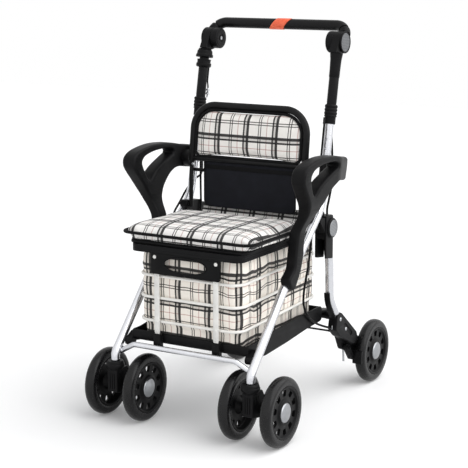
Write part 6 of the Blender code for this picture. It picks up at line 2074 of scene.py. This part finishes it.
    def straps(self):
        low, top = 0.2068, 0.352
        section = [(-1, 0.0003), (-0.92, 0), (0.92, 0), (1, 0.0003)]
        section += [(across, 0.0016 - depth) for across, depth in reversed(section)]
        studs = {
            "top": 0.346, "upper": HOOPS["top"], "mid": HOOPS["mid"], "low": HOOPS["low"], "foot": 0.2125
        }
        for name, side in SIDES.items():
            x = side * STRAP_X
            rings = []
            for k in range(41):
                z = low + (top - low) * k / 40
                half = 0.0065 - (0.0012 if k in (0, 40) else 0.0)
                y = STRAP_Y + 0.0002 * noise.noise(Vector((x * 9, z * 30, 0)))
                rings.append([(x + across * half, y + depth, z) for across, depth in section])
            node = f"basket_strap_{name}"
            band = piece(
                f"strap_band_{name}", skin(rings), "main_frame", "white_strap", node,
                crease=30,
            )
            crumple(band)
            for level, z in studs.items():
                at = (x, STRAP_Y + 0.0001, z)
                stud = f"strap_stud_{level}_{name}"
                crumple(screw(stud, at, (0, -1, 0), 0.0026, "main_frame", "white_strap", 0.0011, False))

    def tray(self):
        half, wall = STEM_X - 0.0236, 0.004
        front, rear = 0.03, 0.366
        outline = [
            (front, 0.185), (front + 0.014, 0.177), (0.104, 0.169), (0.2, 0.175), (0.286, 0.183),
            (rear - 0.006, 0.187), (rear, 0.192), (rear, 0.218), (rear - 0.006, 0.222), (0.25, 0.22),
            (0.12, 0.214), (0.06, 0.206), (front + 0.004, 0.206), (front, 0.203),
        ]
        floor = BAG_LOW_Z - CLEAR
        inside = oblong(front + wall, rear - wall, floor, 0.24)
        under = oblong(front + wall, rear - wall, 0.15, floor - 0.0035)
        cuts = [slab(box, -half + wall, half - wall, 0) for box in (inside, under)]
        body = slab(eased(outline, 0.006, closed=True), -half, half, 0.0026, 3)
        moulding("tray_body", body, "tray", "bottom_tray", cuts, 0.0005)
        tube_z = CROSS_TUBE[1]
        seat_z = tube_z + 0.008 + CLEAR
        hook = [
            (rear - 0.002, seat_z + 0.001), (CROSS_TUBE[0], seat_z), (0.4025, seat_z - 0.001),
            (0.4035, tube_z), (0.407, tube_z), (0.407, seat_z + 0.005), (rear - 0.002, seat_z + 0.008),
        ]
        arm = hull((*TRAY_PIVOT, 0.009), (0.048, 0.19, 0.007))
        clip = [(0.018, 0.181), (front + 0.001, 0.177), (front + 0.001, 0.2062), (0.018, 0.2062)]
        for name, side in SIDES.items():
            reach = slab(arm, side * (half - wall), side * (STEM_X - TUBE_R - 0.0006), 0.0016)
            moulding(f"tray_arm_{name}", reach, "tray")
            pin = bar(side * (half + 0.003), side * (STEM_X - TUBE_R + 0.005), *TRAY_PIVOT, 0.003, 20)
            piece(f"tray_pin_{name}", pin, "tray", "zinc_screw")
            middle = side * STRAP_X
            moulding(f"tray_clip_{name}", slab(clip, middle - 0.009, middle + 0.009, 0.0014), "tray")
            claw = slab(hook, side * (half - 0.019), side * (half - 0.002), 0.0008)
            moulding(f"tray_hook_{name}", claw, "tray")


# Cables


def off_rake(z, out, back):
    """A place beside the upright: out towards the outer side, back to the rear."""
    return on_rake(1, z) @ Vector((out, back, 0))


def sheathed(name, points, side, bodies, start, end, node):
    """A cable's piece along its route, fixed in place on no body."""
    line = smooth([(side * x, y, z) for x, y, z in points], 0.006)
    cable = piece(name, tube(line, 0.0025, 16), None, "pvc_sheath", node)
    start, end = [(side * x, y, z) for x, y, z in (start, end)]
    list(bodies)
    place(start)
    place(end)
    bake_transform(cable)


# Cable routes on the left, from the collar's ears down
MEETING = mm((147.8, 318, 440))
BRAKE_UPPER = mm((157.5, 334, 573), (156, 330, 530), (151, 322, 480)) + MEETING
BRAKE_LOWER = MEETING + mm(
    (147.8, 308, 385), (149, 294, 335), (150.5, 278, 300), (151, 268, 270), (151, 269, 243),
    (151.5, 288, 215), (153, 322, 192), (160, 352, 178), (166, 374.7, 170),
)
LOCK_UPPER = mm((171, 359, 590), (171.5, 361, 545), (171.5, 358, 505))
LOCK_LOWER = {
    "left": mm((171.2, 345, 470), (171, 338.5, 455), (171, 338.5, 440.9)),
    "right": mm(
        (179, 341, 492), (185.8, 315, 470), (186.4, 287, 445), (188, 269, 428), (186, 261.2, 420.8),
        (182.2, 259.5, 419),
    ),
}


class ROLLATOR_OT_cables(Operator):
    """Makes the brake and lock cables, sheathed in black PVC, along fixed routes between the parts that they
    join
    """

    bl_idname = "rollator.cables"
    bl_label = "Cables"

    def execute(self, context):
        down = on_rake(1, COLLAR_FOOT_Z).to_3x3() @ Vector((0, 0, -1))
        ears = []
        for out, back in ((-0.0128, 0), (0, 0.0128)):
            ear = off_rake(COLLAR_FOOT_Z, out, back) + down * 0.0009
            ears.append([ear, ear + down * 0.015])
        high_part, low_part = ("upper_frame", "main_frame"), ("main_frame", "rear_frame")
        for name, side in SIDES.items():
            lock = ears[1] + LOCK_UPPER + LOCK_LOWER[name]
            for cable, route, bodies, ends, node in (
                (
                    "brake_cable_upper", ears[0] + BRAKE_UPPER, high_part,
                    mm((157, 343, 630), (150, 320, 460)), "brake_cable",
                ),
                (
                    "brake_cable_lower", BRAKE_LOWER, low_part, mm((148, 318, 430), (163, 360, 182)),
                    "brake_cable",
                ),
                ("lock_cable_sheath", lock, high_part, mm((171, 360, 625), (171, 355, 500)), "lock_cable"),
            ):
                sheathed(f"{cable}_{name}", route, side, bodies, *ends, f"{node}_{name}")
        return {"FINISHED"}


# Stage


class ROLLATOR_OT_stage(Operator):
    """Sets the camera at the photograph's angle, a plain pale floor, a pale world and soft lamps"""

    bl_idname = "rollator.stage"
    bl_label = "Camera, Light and Floor"

    def execute(self, context):
        scene = context.scene
        scene.view_settings.view_transform = "Standard"
        camera = bpy.data.cameras.new("camera")
        camera.lens = 107.9
        camera.sensor_width = 36
        camera.shift_x = -0.0143
        camera.shift_y = -0.053
        camera.clip_end = 30
        eye = bpy.data.objects.new("camera", camera)
        back = Vector((0.4992, -0.84786, 0.17872)).normalized()
        right = Vector((0.86163, 0.50754, 0)).normalized()
        turn = Matrix((right, back.cross(right), back)).transposed()
        eye.matrix_world = Matrix.Translation((1.5655, -2.708, 1.0105)) @ turn.to_4x4()
        scene.collection.objects.link(eye)
        scene.camera = eye
        for name, towards, strength, angle in (
            ("window", (0.86, 0.26, 0.88), 2.6, 84), ("fill", (0.3, -1.0, 0.6), 0.95, 120)
        ):
            lamp = bpy.data.lights.new(name, "SUN")
            lamp.energy = strength
            lamp.angle = math.radians(angle)
            obj = bpy.data.objects.new(name, lamp)
            obj.matrix_world = turned_to((0, 0, 2), towards)
            scene.collection.objects.link(obj)
        self.world(scene)
        self.floor()
        return {"FINISHED"}

    def world(self, scene):
        world = bpy.data.worlds.new("pale")
        world.use_nodes = True
        tree = world.node_tree
        tree.nodes.clear()
        seen = self.seen(tree)
        around = add(tree, "Background", Color=(0.97, 0.98, 1.0, 1), Strength=0.4)
        white = add(tree, "Background", Color=(1, 1, 1, 1), Strength=1.0)
        both = add(tree, "MixShader", i0=seen, i1=around, i2=white)
        add(tree, "OutputWorld", Surface=both)
        scene.world = world

    def seen(self, tree):
        """1 for what the camera sees straight, in a gloss or through glass."""
        path = add(tree, "LightPath")
        total = path.outputs["Is Camera Ray"]
        for name in ("Is Glossy Ray", "Is Transmission Ray"):
            total = add(tree, "Math", operation="MAXIMUM", i0=total, i1=path.outputs[name])
        return total

    def floor(self):
        bm = bmesh.new()
        bm.faces.new([bm.verts.new((x, y, -0.0004)) for x, y in oblong(-6, 6, -6, 6)])
        floor = object_of("floor", bm)
        mat, tree, shader, where = start("pale_floor")
        tone = mottled(tree, where, 0.5, tinted("#F4F4F4", 0.985), tinted("#F4F4F4", 1.0))
        feed(tree, shader, Base_Color=tone, Roughness=0.9, Specular_IOR_Level=0.1)
        glow = add(tree, "Emission", Color=(1, 1, 1, 1), Strength=0.12)
        both = add(tree, "AddShader", i0=shader, i1=glow)
        mix = add(tree, "MixShader", i0=self.seen(tree), i1=shader, i2=both)
        feed(tree, tree.nodes["Material Output"], Surface=mix)
        floor.data.materials.append(mat)


# The sidebar, and the order that everything is made in


OPERATORS = (
    ROLLATOR_OT_stage,
    ROLLATOR_OT_cables,
    ROLLATOR_OT_wheels,
    ROLLATOR_OT_casters,
    ROLLATOR_OT_main_tubes,
    ROLLATOR_OT_upper_tubes,
    ROLLATOR_OT_handle,
    ROLLATOR_OT_armrests,
    ROLLATOR_OT_joints,
    ROLLATOR_OT_rear_frame,
    ROLLATOR_OT_backrest,
    ROLLATOR_OT_seat,
    ROLLATOR_OT_bag,
)
SETTINGS = {
    "rollator_cloth": RollatorCloth,
    "rollator_padding": RollatorPadding,
    "rollator_metal": RollatorMetal,
}


class ROLLATOR_PT_panel(Panel):
    """Lists the rollator's pieces and their settings"""

    bl_label = "Shopping Rollator"
    bl_idname = "ROLLATOR_PT_panel"
    bl_space_type = "VIEW_3D"
    bl_region_type = "UI"
    bl_category = "Rollator"

    def draw(self, context):
        for operator in OPERATORS:
            self.layout.operator(operator.bl_idname)
        for name, group in SETTINGS.items():
            box = self.layout.box()
            for prop in group.__annotations__:
                box.prop(getattr(context.scene, name), prop)


def register():
    for cls in (*SETTINGS.values(), *OPERATORS, ROLLATOR_PT_panel):
        bpy.utils.register_class(cls)
    for name, group in SETTINGS.items():
        setattr(bpy.types.Scene, name, PointerProperty(type=group))


def unregister():
    for name in SETTINGS:
        delattr(bpy.types.Scene, name)
    for cls in reversed((*SETTINGS.values(), *OPERATORS, ROLLATOR_PT_panel)):
        bpy.utils.unregister_class(cls)


def main():
    register()
    for operator in OPERATORS:
        family, name = operator.bl_idname.split(".")
        getattr(getattr(bpy.ops, family), name)()
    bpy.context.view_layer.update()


if __name__ == "__main__":
    main()
